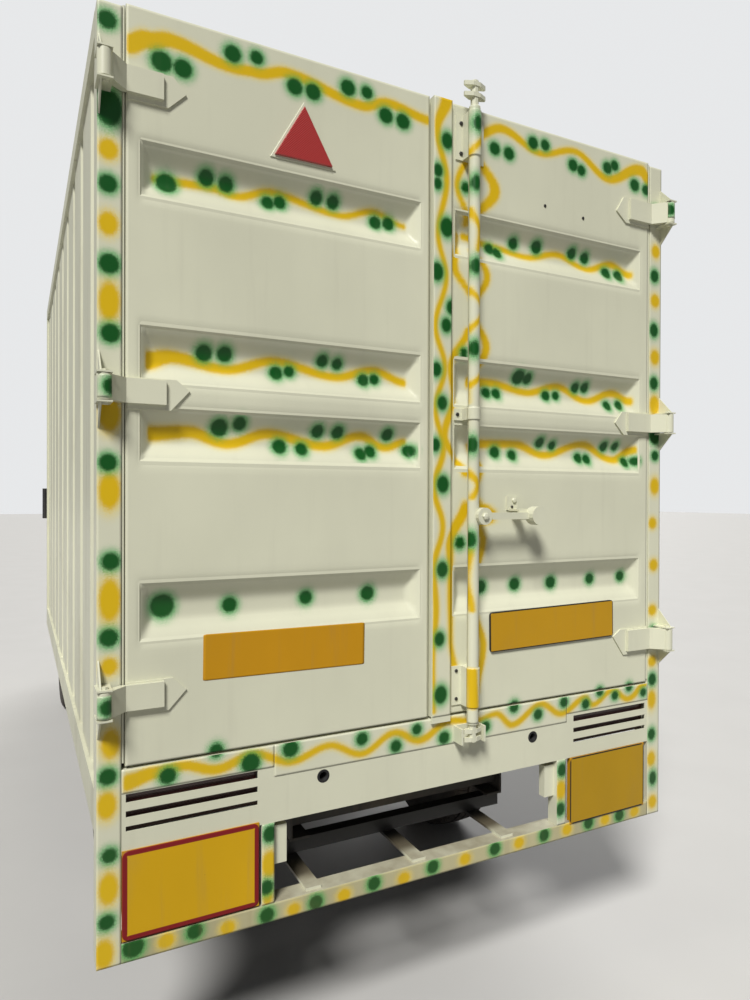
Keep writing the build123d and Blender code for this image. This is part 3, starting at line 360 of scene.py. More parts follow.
def paintMaterial(name, colour, roughness=0.38, dirt=(0.20, 0.17, 0.13, 1), streaks=0.35, patches=0.25, splash=0.5,
                  height=0.9, chips=0.15, grain=0.6, bump=0.08, marks=False, metallic=0.0, shade=0.10, ior=1.5):
    # enamel over steel: base colour, optional sprayed yellow and green, chips, then grime on top
    material, tree, shader = newMaterial(name)
    enamel = node(tree, "Group", {"Grain": grain}, node_tree=enamelGroup).outputs
    tone = blended(tree, enamel["Shade"], tuple(c * (1 - shade * wear["darker"]) for c in colour[:3]) + (1,), colour)
    for attribute, (haze, core, coreFrom, coreFull) in (tints if marks else {}).items():
        mask = node(tree, "Attribute", {}, attribute_name=attribute).outputs["Fac"]
        mask = node(tree, "Group", {"Mask": mask}, node_tree=sprayGroup).outputs["Mask"]
        tone = blended(tree, mask, tone, blended(tree, smoothRange(tree, mask, coreFrom, coreFull), haze, core))
    chipMask = node(tree, "Group", {"Scale": wear["chipScale"], "Share": chips}, node_tree=chipGroup).outputs["Mask"]
    tone = blended(tree, chipMask, tone, wear["chipTone"])
    grime = node(tree, "Group", {"Streaks": streaks, "Patches": patches, "Splash": splash, "Height": height},
                 node_tree=grimeGroup).outputs["Mask"]
    raised = maths(tree, "MULTIPLY_ADD", chipMask, wear["chipDepth"], enamel["Height"])
    feed(tree, shader, {
        "Base Color": blended(tree, maths(tree, "MULTIPLY", grime, wear["dirtTone"]), tone, dirt),
        "Roughness": maths(tree, "MULTIPLY_ADD", grime, wear["dirtRoughness"], roughness, clamp=True),
        "Metallic": metallic, "IOR": min(ior, wear["markGloss"]) if marks else ior,
        "Normal": bumped(tree, raised, bump, wear["bumpDistance"]),
    })
    return material


cream = (0.73, 0.73, 0.565, 1)
noDirt = {"streaks": 0.0, "splash": 0.0, "chips": 0.0}
splashedCream = paintMaterial("sprayed cream enamel, road-stained", (0.53, 0.49, 0.29, 1), streaks=0.25, patches=0.3,
                              splash=0.15, dirt=(0.25, 0.20, 0.10, 1), chips=0.03, shade=0.2, marks=True)
# near-black rubber, darker than real rubber: partly painted shade inside the apron's holes
shadedBushRubber = paintMaterial("black rubber bush with painted shade", (0.006, 0.006, 0.006, 1), roughness=0.8, patches=0.0, **noDirt)
bodyCream = paintMaterial("cream body enamel", cream, streaks=0.10, patches=0.06, splash=0.22, chips=0.0)
decoratedCream = paintMaterial("cream enamel with sprayed marks", cream, streaks=0.07, patches=0.05, splash=0.12,
                               chips=0.0, marks=True)
wallCream = paintMaterial("cream wall enamel, dusty", cream, height=1.3, chips=0.02)
cabCream = paintMaterial("cream cab enamel", (0.76, 0.76, 0.64, 1), roughness=0.26, streaks=0.12, patches=0.10,
                         splash=0.45, chips=0.01, bump=0.04)
hardwareCream = paintMaterial("cream enamel on worn hardware", cream, streaks=0.15, patches=0.14, splash=0.1,
                              chips=0.06, dirt=(0.14, 0.11, 0.08, 1), bump=0.12)
underrunPaint = paintMaterial("under-run frame enamel", cream, streaks=0.15, patches=0.14, splash=0.15, chips=0.05,
                              bump=0.12)
chassisBlack = paintMaterial("dusty black chassis paint", (0.022, 0.021, 0.020, 1), roughness=0.6, streaks=0.3,
                             patches=0.7, splash=0.8, chips=0.3, shade=0.4, bump=0.2)
deckGrey = paintMaterial("worn deck paint", (0.13, 0.125, 0.115, 1), roughness=0.65, streaks=0.2, patches=0.6,
                         splash=0.0, chips=0.6, shade=0.3, bump=0.2)
axleIron = paintMaterial("oily cast iron", (0.03, 0.028, 0.026, 1), roughness=0.5, metallic=0.3, patches=0.8,
                         splash=0.7, chips=0.4, shade=0.4, bump=0.35)
springSteel = paintMaterial("spring steel, rust-dusted", (0.06, 0.045, 0.035, 1), roughness=0.6, metallic=0.4,
                            patches=0.8, splash=0.7, chips=0.7, shade=0.4, bump=0.3)
engineGrey = paintMaterial("engine casting", (0.16, 0.165, 0.17, 1), roughness=0.5, metallic=0.5, patches=0.8,
                           splash=0.6, chips=0.4, shade=0.3, bump=0.4)
tankBlack = paintMaterial("black tank paint", (0.02, 0.02, 0.021, 1), roughness=0.35, patches=0.5, splash=0.7,
                          chips=0.2, shade=0.3)
silencerSteel = paintMaterial("heat-stained silencer", (0.22, 0.16, 0.11, 1), roughness=0.55, metallic=0.6, patches=0.7,
                              chips=0.9, shade=0.35, bump=0.3)
shaftSteel = paintMaterial("dull shaft steel", (0.16, 0.155, 0.15, 1), roughness=0.5, metallic=0.7, patches=0.6,
                           splash=0.6, chips=0.4, shade=0.3, bump=0.15)
rimSilver = paintMaterial("dusty silver wheel paint", (0.42, 0.42, 0.40, 1), roughness=0.4, metallic=0.5, patches=0.5,
                          chips=0.3, shade=0.2, bump=0.1)
signYellow = paintMaterial("yellow sign paint", (0.615, 0.30, 0.006, 1), roughness=0.5, streaks=0.25, splash=0.1,
                           chips=0.03, shade=0.15, ior=1.36)
darkPlastic = paintMaterial("dusty black plastic", (0.022, 0.022, 0.023, 1), roughness=0.55, patches=0.4, chips=0.0,
                            shade=0.2, bump=0.25)
dashGrey = paintMaterial("grained dashboard plastic", (0.06, 0.06, 0.066, 1), roughness=0.6, patches=0.2, shade=0.15,
                         bump=0.3, grain=2.5, **noDirt)
seatCover = paintMaterial("brown leathercloth", (0.10, 0.048, 0.026, 1), roughness=0.5, shade=0.25, bump=0.4, grain=3.0,
                          **noDirt)
tyreRubber = paintMaterial("dusty tyre rubber", (0.018, 0.018, 0.019, 1), roughness=0.75, dirt=(0.16, 0.13, 0.10, 1),
                           patches=0.5, splash=0.45, chips=0.0, shade=0.2, bump=0.3, grain=2.0)


def glassMaterial(name, tint, alpha, roughness):
    # thin glass: tinted gloss that lets light straight through, with a film of dust
    material, tree, shader = newMaterial(name)
    film = {"Streaks": 0.5, "Patches": 0.5, "Splash": 0.0, "Height": 1.0}
    dust = node(tree, "Group", film, node_tree=grimeGroup).outputs["Mask"]
    feed(tree, shader, {"Base Color": blended(tree, maths(tree, "MULTIPLY", dust, 0.5), tint, (0.45, 0.42, 0.36, 1)),
                        "Roughness": maths(tree, "MULTIPLY_ADD", dust, 0.35, roughness),
                        "Alpha": maths(tree, "MULTIPLY_ADD", dust, 0.3, alpha, clamp=True)})
    return material


def lensMaterial(name, colour, cell, roughness):
    # moulded lens: fine square prisms (sine across times sine up) as bump over a clear colour, the same pattern also
    # darkening that colour as painted shade between the prisms
    material, tree, shader = newMaterial(name, Roughness=roughness, Coat_Weight=0.6)
    places = [part(tree, objectPoint(tree), k) for k in (0, 2)]
    waves = [maths(tree, "SINE", maths(tree, "MULTIPLY", way, 2 * math.pi / cell)) for way in places]
    prisms = maths(tree, "MULTIPLY", *waves)
    shade = smoothRange(tree, prisms, -0.6, 0.8, 0.72, 1.0)
    grey = node(tree, "CombineColor", {0: shade, 1: shade, 2: shade}).outputs[0]
    feed(tree, shader, {"Base Color": blended(tree, 1.0, colour, grey, "MULTIPLY"),
                        "Normal": bumped(tree, prisms, 0.5, 0.001)})
    return material


cabGlass = glassMaterial("dusty cab glass", (0.05, 0.06, 0.06, 1), 0.45, 0.04)
# painted shade: the tail lamp lens is near-black so the slots of the louvres in front of it read as shaded
shadedLampRed = lensMaterial("red lens darkened as painted shade", (0.055, 0.010, 0.008, 1), 0.008, 0.35)
lampClear = lensMaterial("fluted clear lens", (0.60, 0.62, 0.64, 1), 0.012, 0.08)
reflectorRed = lensMaterial("red reflex lens", (0.46, 0.018, 0.014, 1), 0.006, 0.3)
lampAmber = lensMaterial("amber indicator lens", (0.70, 0.20, 0.010, 1), 0.006, 0.15)
mirrorGlass = newMaterial("silvered mirror", Base_Color=(0.75, 0.77, 0.78, 1), Metallic=1.0, Roughness=0.04)[0]
chrome = newMaterial("polished lamp rim", Base_Color=(0.62, 0.63, 0.64, 1), Metallic=1.0, Roughness=0.12)[0]


def overpainted(material, layers):
    # further tones over a finished paint, each laid where its mask says: layers(tree) gives (mask, colour) pairs
    tree = material.node_tree
    shader = tree.nodes["Principled BSDF"]
    tone = shader.inputs["Base Color"].links[0].from_socket
    for mask, colour in layers(tree):
        tone = blended(tree, mask, tone, colour)
    feed(tree, shader, {"Base Color": tone})
    return material


def underrunDustAndShade(tree):
    # dust on faces that look up, then painted shade deepening with the distance in from the bar's face: a dark brown,
    # then black
    upward = part(tree, node(tree, "NewGeometry", {}).outputs["Normal"], 2)
    inward = part(tree, objectPoint(tree), 1)
    settled = maths(tree, "MULTIPLY", smoothRange(tree, upward, 0.55, 0.95), noise(tree, 14.0, 4.0))
    yield settled, (0.17, 0.125, 0.065, 1)
    # painted shade: the frame turns dark brown, then black, as it reaches in under the body
    yield smoothRange(tree, inward, rearFace + 0.040, rearFace + 0.095), (0.115, 0.098, 0.066, 1)
    yield smoothRange(tree, inward, rearFace + 0.120, rearFace + 0.190), (0.018, 0.017, 0.016, 1)


overpainted(underrunPaint, underrunDustAndShade)
print("materials made")

# every CAD node that stays in view gets its finish through its own slots
finishOf = [
    (bodyCream, "rear_portal rear_apron cargo_door_left cargo_door_right"), (hardwareCream, "hinge_brackets lock_rod"),
    (underrunPaint, "underrun_frame"), (shadedLampRed, "tail_lamps"), (signYellow, "rear_boards"), (deckGrey, "cargo_floor"),
    (wallCream, "wall_left wall_right wall_front cargo_roof"), (chassisBlack, "chassis_frame"),
    (darkPlastic, "mudguards mirror_left mirror_right grille steering_wheel"), (springSteel, "leaf_springs"),
    (axleIron, "rear_axle front_axle knuckle_left knuckle_right"), (shaftSteel, "tie_rod propshaft"),
    (tyreRubber, "tyre_front_left tyre_front_right tyre_rear_left tyre_rear_right"), (engineGrey, "engine"),
    (rimSilver, "rim_front_left rim_front_right rim_rear_left rim_rear_right"), (tankBlack, "fuel_tank battery_box"),
    (silencerSteel, "silencer"), (cabCream, "cab_shell cab_door_left cab_door_right front_bumper"),
    (cabGlass, "cab_glass door_glass_left door_glass_right"), (lampClear, "headlamps"), (dashGrey, "dashboard"),
    (seatCover, "seats"),
]
for material, nodeNames in finishOf:
    for nodeName in nodeNames.split():
        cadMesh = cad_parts[nodeName].data
        for k in range(len(cadMesh.materials)):
            cadMesh.materials[k] = material
print("CAD nodes finished")


def sprayedSkin(name, body, xRange, zRange, yFace, depth=None, bands=None, paint=decoratedCream, **marks):
    # grid a hair off a CAD face, sunk by depth(x, z) where that is pressed, with its marks as masks at its points
    x, z = np.meshgrid(gridLines(*xRange, [xRange]), gridLines(*zRange, bands or [zRange]), indexing="ij")
    front = np.stack([x, yFace - skin["off"] + (depth(x, z) if depth else 0 * x), z + low], -1)
    shape = closedSheet(front, front + np.array([0.0, skin["thick"], 0.0]))
    addPiece(name, shape, body, paint, masks=sprayMasks(x, z, **marks))


# pressed faces of the rear doors: four bevelled recesses in each, and the sprayed border
# marks: lines are (knots, half width) with knots x, height, width scale; dots are (spots, radius) with x, height, size
pressing = {
    "rows": [(0.750, 0.889), (1.178, 1.307), (1.365, 1.500), (1.803, 1.935)], "depth": 0.032, "endBevel": 0.030,
    "sideBevel": 0.044, "height": (0.462, 2.2425),
    "bands": [(0.462, 0.480), (0.790, 0.860), (1.195, 1.300), (1.385, 1.480), (1.825, 1.925), (2.095, 2.243)],
}


def recessed(start, stop):
    # depth = recess depth times the smaller of a level and an upright ramp with rounded ends
    def depth(x, z):
        level = np.minimum(softClip((x - start) / pressing["endBevel"]), softClip((stop - x) / pressing["endBevel"]))
        rows = [np.minimum(softClip((z - bottom) / pressing["sideBevel"]), softClip((top - z) / pressing["sideBevel"]))
                for bottom, top in pressing["rows"]]
        return np.max([np.zeros_like(x)] + [pressing["depth"] * np.minimum(level, upright) for upright in rows], 0)
    return depth


leftLines = [
    ([(-853, 2150, 1.7), (-800, 2172, 1.6), (-750, 2186, 1.3), (-600, 2163, 1), (-537, 2168, 1), (-454, 2190, 1),
      (-244, 2160, 0.95), (-158, 2188, 0.95), (-26, 2172, 0.95)], 12.5),
    ([(-792, 1862, 0.9), (-640, 1868, 1), (-587, 1858, 0.9), (-487, 1886, 0.9), (-294, 1863, 0.8), (-190, 1890, 0.8),
      (-85, 1868, 0.6)], 9.5),
    ([(-806, 1420, 2), (-741, 1436, 1.3), (-610, 1416, 1), (-477, 1448, 0.9), (-307, 1421, 0.9), (-189, 1448, 0.9),
      (-83, 1421, 0.9)], 11),
    ([(-800, 1246, 1.5), (-699, 1254, 1.2), (-605, 1228, 1), (-495, 1258, 1), (-341, 1232, 1), (-231, 1263, 0.9),
      (-153, 1235, 0.9), (-82, 1252, 0.8)], 11.5),
]
leftDots = [
    ([(-771, 2130, 1.15), (-721, 2127, 1.05), (-599, 2198, 1), (-537, 2206, 0.8), (-435, 2160, 1), (-384, 2160, 1),
      (-283, 2198, 1), (-226, 2200, 0.8), (-167, 2152, 1), (-113, 2149, 1)], 18.5),
    ([(-755, 1855, 1.15), (-658, 1888, 0.9), (-608, 1883, 0.9), (-498, 1858, 0.8), (-465, 1865, 0.8), (-364, 1895, 0.8),
      (-315, 1893, 0.8), (-184, 1863, 0.85), (-143, 1867, 0.85)], 18.5),
    ([(-663, 1452, 0.95), (-611, 1454, 0.9), (-474, 1418, 0.85), (-438, 1425, 0.7), (-345, 1460, 0.75),
      (-301, 1456, 0.7), (-220, 1419, 0.8), (-186, 1424, 0.7)], 18.5),
    ([(-625, 1268, 1), (-574, 1280, 0.8), (-465, 1226, 0.9), (-404, 1221, 0.8), (-359, 1270, 0.8), (-300, 1270, 0.8),
      (-231, 1213, 0.8), (-200, 1221, 0.8), (-147, 1270, 0.8), (-79, 1226, 0.8)], 18.5),
    ([(-763, 829, 1.35), (-596, 820, 0.9), (-389, 826, 0.85), (-205, 826, 0.95)], 18.5),
    ([(-637, 465, 0.95)], 15.5),
]
rightLines = [
    ([(120, 2165, 1), (232, 2211, 0.95), (375, 2170, 0.72), (520, 2208, 0.72), (663, 2150, 0.95), (812, 2209, 1.4),
      (870, 2170, 1.4)], 12.5),
    ([(100, 1875, 0.9), (213, 1862, 0.9), (344, 1849, 0.9), (475, 1878, 0.9), (599, 1849, 0.9), (708, 1881, 1),
      (800, 1856, 1.1)], 9.5),
    ([(120, 1440, 1.4), (214, 1444, 1), (353, 1425, 0.9), (475, 1452, 0.9), (600, 1414, 0.9), (717, 1447, 1),
      (802, 1424, 1.1)], 10.5),
    ([(150, 1257, 1.1), (306, 1260, 1), (422, 1230, 1), (579, 1269, 0.9), (718, 1222, 1), (812, 1258, 1.1)], 10.5),
]
rightDots = [
    ([(204, 2145, 0.9), (257, 2142, 0.9), (350, 2196, 0.9), (398, 2200, 0.8), (513, 2162, 0.9), (548, 2153, 0.8),
      (662, 2186, 0.9), (694, 2200, 0.8), (787, 2154, 0.95), (840, 2148, 0.8)], 18.5),
    ([(206, 1852, 0.8), (232, 1842, 0.8), (297, 1884, 0.8), (388, 1887, 0.9), (534, 1890, 0.8), (591, 1884, 0.8),
      (685, 1848, 0.9), (740, 1846, 0.9)], 18.5),
    ([(196, 1413, 0.8), (233, 1413, 0.8), (313, 1470, 1.1), (349, 1467, 0.8), (430, 1420, 0.8), (471, 1423, 0.7),
      (552, 1454, 0.8), (591, 1457, 0.8), (690, 1403, 0.8), (745, 1408, 0.8)], 17.5),
    ([(230, 1233, 0.9), (295, 1226, 0.8), (402, 1269, 0.8), (455, 1262, 0.7), (566, 1224, 0.8), (601, 1221, 0.8),
      (677, 1266, 0.8), (727, 1268, 0.7), (770, 1215, 0.8), (806, 1219, 0.7)], 17.5),
    ([(180, 823, 0.9), (309, 824, 0.9), (454, 822, 0.9), (621, 825, 0.8), (759, 827, 0.8)], 18.5),
    ([(285, 453, 0.93), (639, 455, 0.8), (772, 454, 0.78)], 15.5),
]
# loops sprayed on both sides of the lock rod: height, x, width scale
rodLoops = [
    ([(1905, 125, 0.8), (2018, 205, 1.7), (2125, 135, 1)], 10),
    ([(1900, 112, 0.8), (2010, 69, 0.8), (2120, 110, 0.8)], 10),
    ([(1660, 130, 0.7), (1755, 178, 1.05), (1840, 135, 0.8)], 10),
    ([(1670, 125, 0.8), (1775, 60, 1.1), (1880, 82, 0.9)], 10),
    ([(1465, 145, 0.9), (1545, 175, 1.2), (1640, 130, 0.8)], 10),
    ([(1150, 105, 1.2), (1273, 21, 1), (1392, 56, 1.2), (1467, 44, 1.3), (1600, 110, 0.9)], 10),
    ([(1070, 140, 0.8), (1116, 138, 0.8), (1185, 158, 0.8), (1260, 135, 0.8)], 10),
    ([(990, 130, 0.8), (1040, 200, 1.1), (1095, 135, 0.8)], 11),
    ([(850, 140, 0.8), (970, 166, 1), (1010, 140, 0.9)], 10),
    ([(500, 145, 0.8), (650, 168, 1.1), (765, 135, 0.8)], 10),
    ([(560, 70, 0.9), (680, 48, 1), (800, 46, 1.2), (880, 46, 1.2), (950, 44, 1.6), (1085, 105, 1.5)], 10),
]
besideRod = [([(99, 2006, 0.8), (95, 1520, 0.7), (83, 960, 0.9)], 17)]
sprayedSkin("door_face_left", "cargo_door_left", (-0.8505, -0.0265), pressing["height"], rearFace,
            recessed(-0.820, -0.052), pressing["bands"], lines=leftLines, greens=leftDots)
sprayedSkin("door_face_right", "cargo_door_right", (0.0465, 0.8505), pressing["height"], rearFace,
            recessed(0.062, 0.816), pressing["bands"], lines=rightLines, wander=rodLoops, greens=rightDots + besideRod)
print("door faces made")

# painted faces of the flat bars
postMarks = {  # x, height, size and, for a tall one, its stretch
    "leftGreen": [(-893, 2192, 1), (-889, 1991, 1.4, 1.45), (-891, 1816, 1), (-888, 1632, 1.1), (-885, 1472, 1.05),
                  (-890, 1173, 0.97), (-884, 944, 0.97), (-888, 767, 1), (-890, 445, 0.93), (-886, 261, 0.82),
                  (-892, 107, 0.85)],
    "leftYellow": [(-890, 1895, 1, 1.12), (-890, 1724, 1, 1.25), (-888, 1545, 1.08, 1.95), (-887, 1285, 1.1, 1.7),
                   (-887, 1107, 1.1, 1.8), (-886, 854, 1.1, 2.15), (-887, 700, 0.85, 1.1), (-884, 520, 0.95, 1.7),
                   (-892, 378, 1, 1.5), (-888, 184, 1, 1.75), (-898, 34, 1, 1.6)],
    "rightGreen": [(887, 2085, 0.9), (884, 1860, 0.9, 1.15), (882, 1673, 0.9, 1.25), (883, 1490, 0.9, 1.15),
                   (888, 1310, 1.2, 1.2), (890, 1240, 0.8), (884, 630, 0.75, 1.2), (882, 466, 0.85, 1.2),
                   (880, 276, 0.8, 1.2), (887, 123, 0.75, 1.5)],
    "rightYellow": [(889, 1945, 0.85, 1.2), (887, 1775, 0.95, 1.1), (887, 1580, 0.95, 1.25), (886, 1415, 1.05, 1.45),
                    (889, 1135, 0.95, 1.4), (880, 1007, 0.85, 1.05), (886, 862, 0.9, 1.05), (881, 706, 0.85, 1),
                    (881, 529, 0.85, 1), (880, 397, 0.85, 1.7), (879, 191, 0.85, 1.35), (886, 41, 0.85, 1.2)],
}
for sideName, xRange in (("left", (-0.9145, -0.8605)), ("right", (0.8605, 0.9145))):
    sprayedSkin("post_face_" + sideName, "truck", xRange, (0.0005, 2.2335), rearFace,
                greens=[(postMarks[sideName + "Green"], 18.0)], yellows=[(postMarks[sideName + "Yellow"], 17.2)])

apronWave = [(-857, 423, 2), (-780, 436, 1.4), (-723, 441, 1.1), (-633, 418, 1.2), (-545, 440, 1), (-437, 404, 0.95),
             (-335, 429, 0.85), (-235, 391, 0.85), (-135, 433, 0.9), (-51, 400, 1.05), (50, 440, 0.9), (150, 428, 0.7),
             (215, 438, 0.8), (279, 396, 0.95), (390, 444, 0.9), (475, 403, 0.9), (573, 440, 1), (610, 414, 0.8),
             (693, 450, 0.9), (768, 413, 0.9), (857, 458, 1.3)]
apronDots = [(-754, 423, 1.1), (-637, 463, 0.85), (-549, 419, 1.33), (-442, 438, 1.2), (-235, 432, 0.97),
             (-129, 395, 0.95), (-61, 432, 0.85), (31, 394, 1), (178, 405, 0.9), (285, 450, 0.93), (379, 414, 0.92),
             (485, 438, 0.9), (577, 420, 0.88), (639, 453, 0.8), (707, 432, 0.8), (772, 452, 0.78), (839, 426, 0.78)]
for label, xRange, bottom in (("left", (-0.8595, -0.4865), 0.3985), ("middle", (-0.4855, 0.4965), 0.3725),
                              ("right", (0.4975, 0.8595), 0.3985)):
    sprayedSkin("apron_band_" + label, "truck", xRange, (bottom, 0.4545), rearFace, lines=[(apronWave, 9.5)],
                greens=[(apronDots, 15.5)])

barGreen = [(-833, 33, 1.3), (-689, 30, 1), (-505, 20, 1), (-370, 18, 1), (-197, 25, 1), (-6, 26, 1), (215, 28, 1),
            (406, 28, 1), (592, 28, 1), (730, 25, 1)]
barYellow = [(-757, 26, 1), (-607, 16, 1), (-432, 16, 0.9), (-288, 16, 1), (-102, 16, 1), (106, 22, 1), (307, 26, 1),
             (500, 26, 1), (665, 24, 1), (800, 24, 1)]
sprayedSkin("bar_face", "truck", (-0.8595, 0.8595), (0.0005, 0.0465), rearFace, paint=splashedCream,
            greens=[(barGreen, 16.5)], yellows=[(barYellow, 15, 0.9)])
sprayedSkin("upright_face_left", "truck", (-0.5185, -0.4855), (0.0475, 0.2545), rearFace,
            greens=[([(-497, 228, 1.1), (-506, 92, 1)], 15, 1.1)],
            yellows=[([(-499, 150, 1.1), (-503, 68, 0.7)], 15, 1.7)])
sprayedSkin("upright_face_right", "truck", (0.4575, 0.4935), (0.0475, 0.2545), rearFace,
            greens=[([(478, 222, 1), (472, 97, 1)], 15, 1.2)], yellows=[([(474, 158, 1)], 15, 1.7)])

# cover strip between the doors: a sprayed line that wanders down it, the loops beside the rod and green dots
stripLine = [(470, -12, 0.7), (630, -16, 0.9), (772, -6, 1.2), (885, -15, 1.2), (1010, 16, 1), (1120, -14, 1.1),
             (1235, 17, 1.1), (1348, -10, 0.9), (1470, 21, 1), (1585, -11, 0.9), (1730, 25, 0.9), (1850, -3, 0.9),
             (2005, 25, 1.1), (2150, -6, 1.2), (2250, 26, 2.4)]
stripDots = [(27, 2122, 1.1), (-4, 2031, 0.9), (-5, 1993, 0.8), (27, 1873, 1.3), (-6, 1741, 1.2), (43, 1644, 0.95),
             (26, 1591, 0.95), (-7, 1461, 0.95), (13, 1366, 0.95), (-10, 1245, 0.9), (16, 1132, 1.15), (15, 886, 1.05),
             (6, 686, 0.95), (11, 525, 1.2)]
sprayedSkin("cover_strip_face", "cargo_door_right", (-0.0165, 0.0445), (0.4625, 2.2425), rearFace - 0.012,
            wander=[(stripLine, 8), rodLoops[5], rodLoops[-1]], greens=[(stripDots, 15, 1.25)])


def tubeSkin(name, body, middle, radii, zRange, turns, **marks):
    # part of a tube a hair outside a round bar: x = middle + r sin a, y = middle - r cos a, r larger over its saddles
    steps = [edge + way * 0.0004 for _, *span in radii[1:] for edge in span for way in (-1, 1)]
    zs = np.unique(np.concatenate([np.arange(zRange[0], zRange[1], 0.006), [zRange[1]], steps]))
    angle, z = np.meshgrid(np.radians(np.linspace(*turns, 17)), zs, indexing="ij")
    radius = np.full_like(z, radii[0])
    for wide, bottom, top in radii[1:]:
        radius = np.where((z > bottom) & (z < top), wide, radius)
    sheets = [np.stack([middle[0] + r * np.sin(angle), middle[1] - r * np.cos(angle), z + low], -1)
              for r in (radius + 0.0008, radius + 0.0002)]
    masks = sprayMasks(middle[0] + radius * np.sin(angle), z, **marks)
    addPiece(name, closedSheet(*sheets), body, decoratedCream, masks=masks)


lockRod = {"middle": (0.104, rearFace - 0.038), "height": (0.4395, 2.2245),  # radii: of the bar, then of its saddles
           "radii": [0.0165, (0.0195, 2.081, 2.211), (0.0195, 1.320, 1.354), (0.0195, 0.486, 0.600)]}
rodMarks = [  # height, x, width scale
    [(480, 98, 1.8), (602, 94, 1.5)], [(760, 94, 0.8), (860, 80, 1), (950, 90, 0.8)],
    [(1085, 93, 0.8), (1128, 108, 1), (1185, 76, 1)], [(1362, 78, 1), (1400, 78, 1), (1460, 124, 0.9)],
    [(1560, 78, 0.9), (1632, 124, 0.8)], [(1640, 124, 0.8), (1708, 80, 0.9)],
    [(1800, 106, 0.7), (1860, 114, 1), (1935, 84, 0.9)], [(2070, 78, 0.8), (2150, 128, 1)],
]
rodDots = [(104, 2172, 1), (101, 2001, 1), (101, 1762, 1), (98, 1524, 1), (93, 1246, 1), (89, 972, 1)]
tubeSkin("lock_rod_skin", "cargo_door_right", lockRod["middle"], lockRod["radii"], lockRod["height"], (-95, 95),
         wander=[(mark, 7.5) for mark in rodMarks], greens=[(rodDots, 12, 1.6)])
# sprayed spots on the hinge knuckles: leaf, side of the truck, middle height in millimetres, spot x
for leafName, side, height, spotX in (("left", -1, 1341, -892), ("left", -1, 622, -898), ("right", 1, 2070, 892)):
    tubeSkin("knuckle_spot_%s_%d" % (leafName, height), "cargo_door_" + leafName, (side * 0.903, rearFace - 0.045),
             [0.017], (height / 1000 - 0.026, height / 1000 + 0.026), (-62, 62),
             greens=[([(spotX, height, 1)], 13.5, 1.1)])
print("painted bars made")


# blank sign boards, plates and the reflector; each a thin sheet with rounded corners
def boardSheet(name, body, corners, yFace, thickness, material, radius, steps, border=None):
    # rounded rectangle as a grid squeezed into its corners; corners give centre, half sizes and tilt in degrees
    cx, cz, halfX, halfZ, tilt = corners
    u, v = np.meshgrid(np.linspace(-1, 1, steps[0]), np.linspace(-1, 1, steps[1]), indexing="ij")
    x, z = u * halfX, v * halfZ
    overX, overZ = np.maximum(np.abs(x) - halfX + radius, 0), np.maximum(np.abs(z) - halfZ + radius, 0)
    reach = np.hypot(overX, overZ)
    pull = np.where(reach > 1e-9, np.maximum(overX, overZ) / np.maximum(reach, 1e-9), 1.0)
    inX = np.sign(x) * (np.minimum(np.abs(x), halfX - radius) + overX * pull)
    inZ = np.sign(z) * (np.minimum(np.abs(z), halfZ - radius) + overZ * pull)
    c, s = math.cos(math.radians(tilt)), math.sin(math.radians(tilt))
    front = np.stack([cx + inX * c - inZ * s, np.full_like(inX, yFace - thickness), low + cz + inX * s + inZ * c], -1)
    masks = {}
    if border:  # 1 between the border's outer and inner edge, measured in from the board's rim
        edge = np.minimum(halfX - np.abs(inX), halfZ - np.abs(inZ))
        band = np.clip((edge - border[0]) / 0.002 + 0.5, 0, 1) * np.clip((border[1] - edge) / 0.002 + 0.5, 0, 1)
        masks["border"] = np.tile(band.ravel(), 2)
    addPiece(name, closedSheet(front, front + np.array([0.0, thickness, 0.0])), body, material,
             masks=masks)


def borderedPaint(name, face, border, roughness):
    # plain painted face with a border read from the sheet's own mask
    material = paintMaterial(name, face, roughness=roughness, streaks=0.2, patches=0.2, splash=0.1, chips=0.03,
                             shade=0.12, ior=1.36)
    return overpainted(material, lambda tree: [
        (smoothRange(tree, node(tree, "Attribute", {}, attribute_name="border").outputs["Fac"], 0.3, 0.7), border)])


signBlack = (0.012, 0.012, 0.012, 1)
stopPaint = borderedPaint("yellow board with dark red border", (0.70, 0.405, 0.003, 1), (0.20, 0.008, 0.010, 1), 0.48)
numberPaint = borderedPaint("yellow board with black border", (0.475, 0.275, 0.003, 1), signBlack, 0.45)
platePaint = borderedPaint("golden plate with black border", (0.55, 0.295, 0.008, 1), signBlack, 0.45)
boardSheet("stop_board_face", "truck", (-0.6930, 0.158, 0.1655, 0.1055, 0.0), rearFace - 0.003, 0.0011, stopPaint,
           0.016, (120, 76), (-0.002, 0.0115))
boardSheet("number_board_face", "truck", (0.6750, 0.1475, 0.1645, 0.1060, 0.0), rearFace - 0.003, 0.0011, numberPaint,
           0.014, (120, 70), (-0.002, 0.0035))
boardSheet("number_plate", "cargo_door_right", (0.440, 0.691, 0.250, 0.060, 0.8), rearFace - 0.0011, 0.006, platePaint,
           0.010, (160, 44), (-0.002, 0.0030))
boardSheet("speed_panel", "cargo_door_left", (-0.4495, 0.6965, 0.2205, 0.0570, -0.6), rearFace - 0.0011, 0.0006,
           signYellow, 0.004, (60, 34))
# the reflector triangle: an equilateral lens in a thin pale backing
triangle = np.array([(-0.4910, 1.971), (-0.3300, 1.971), (-0.4100, 2.1130)])
for label, grow, proud, material in (("reflector_back", 1.14, 0.003, hardwareCream),
                                     ("reflector_lens", 1.0, 0.009, reflectorRed)):
    outline = triangle.mean(0) + (triangle - triangle.mean(0)) * grow + np.array([0, low])
    shape = prism(outline, rearFace - 0.0011, rearFace - 0.0011 - proud, "y")
    softEdge(addPiece(label, shape, "cargo_door_left", material, smooth=False), 0.002)
print("boards made")

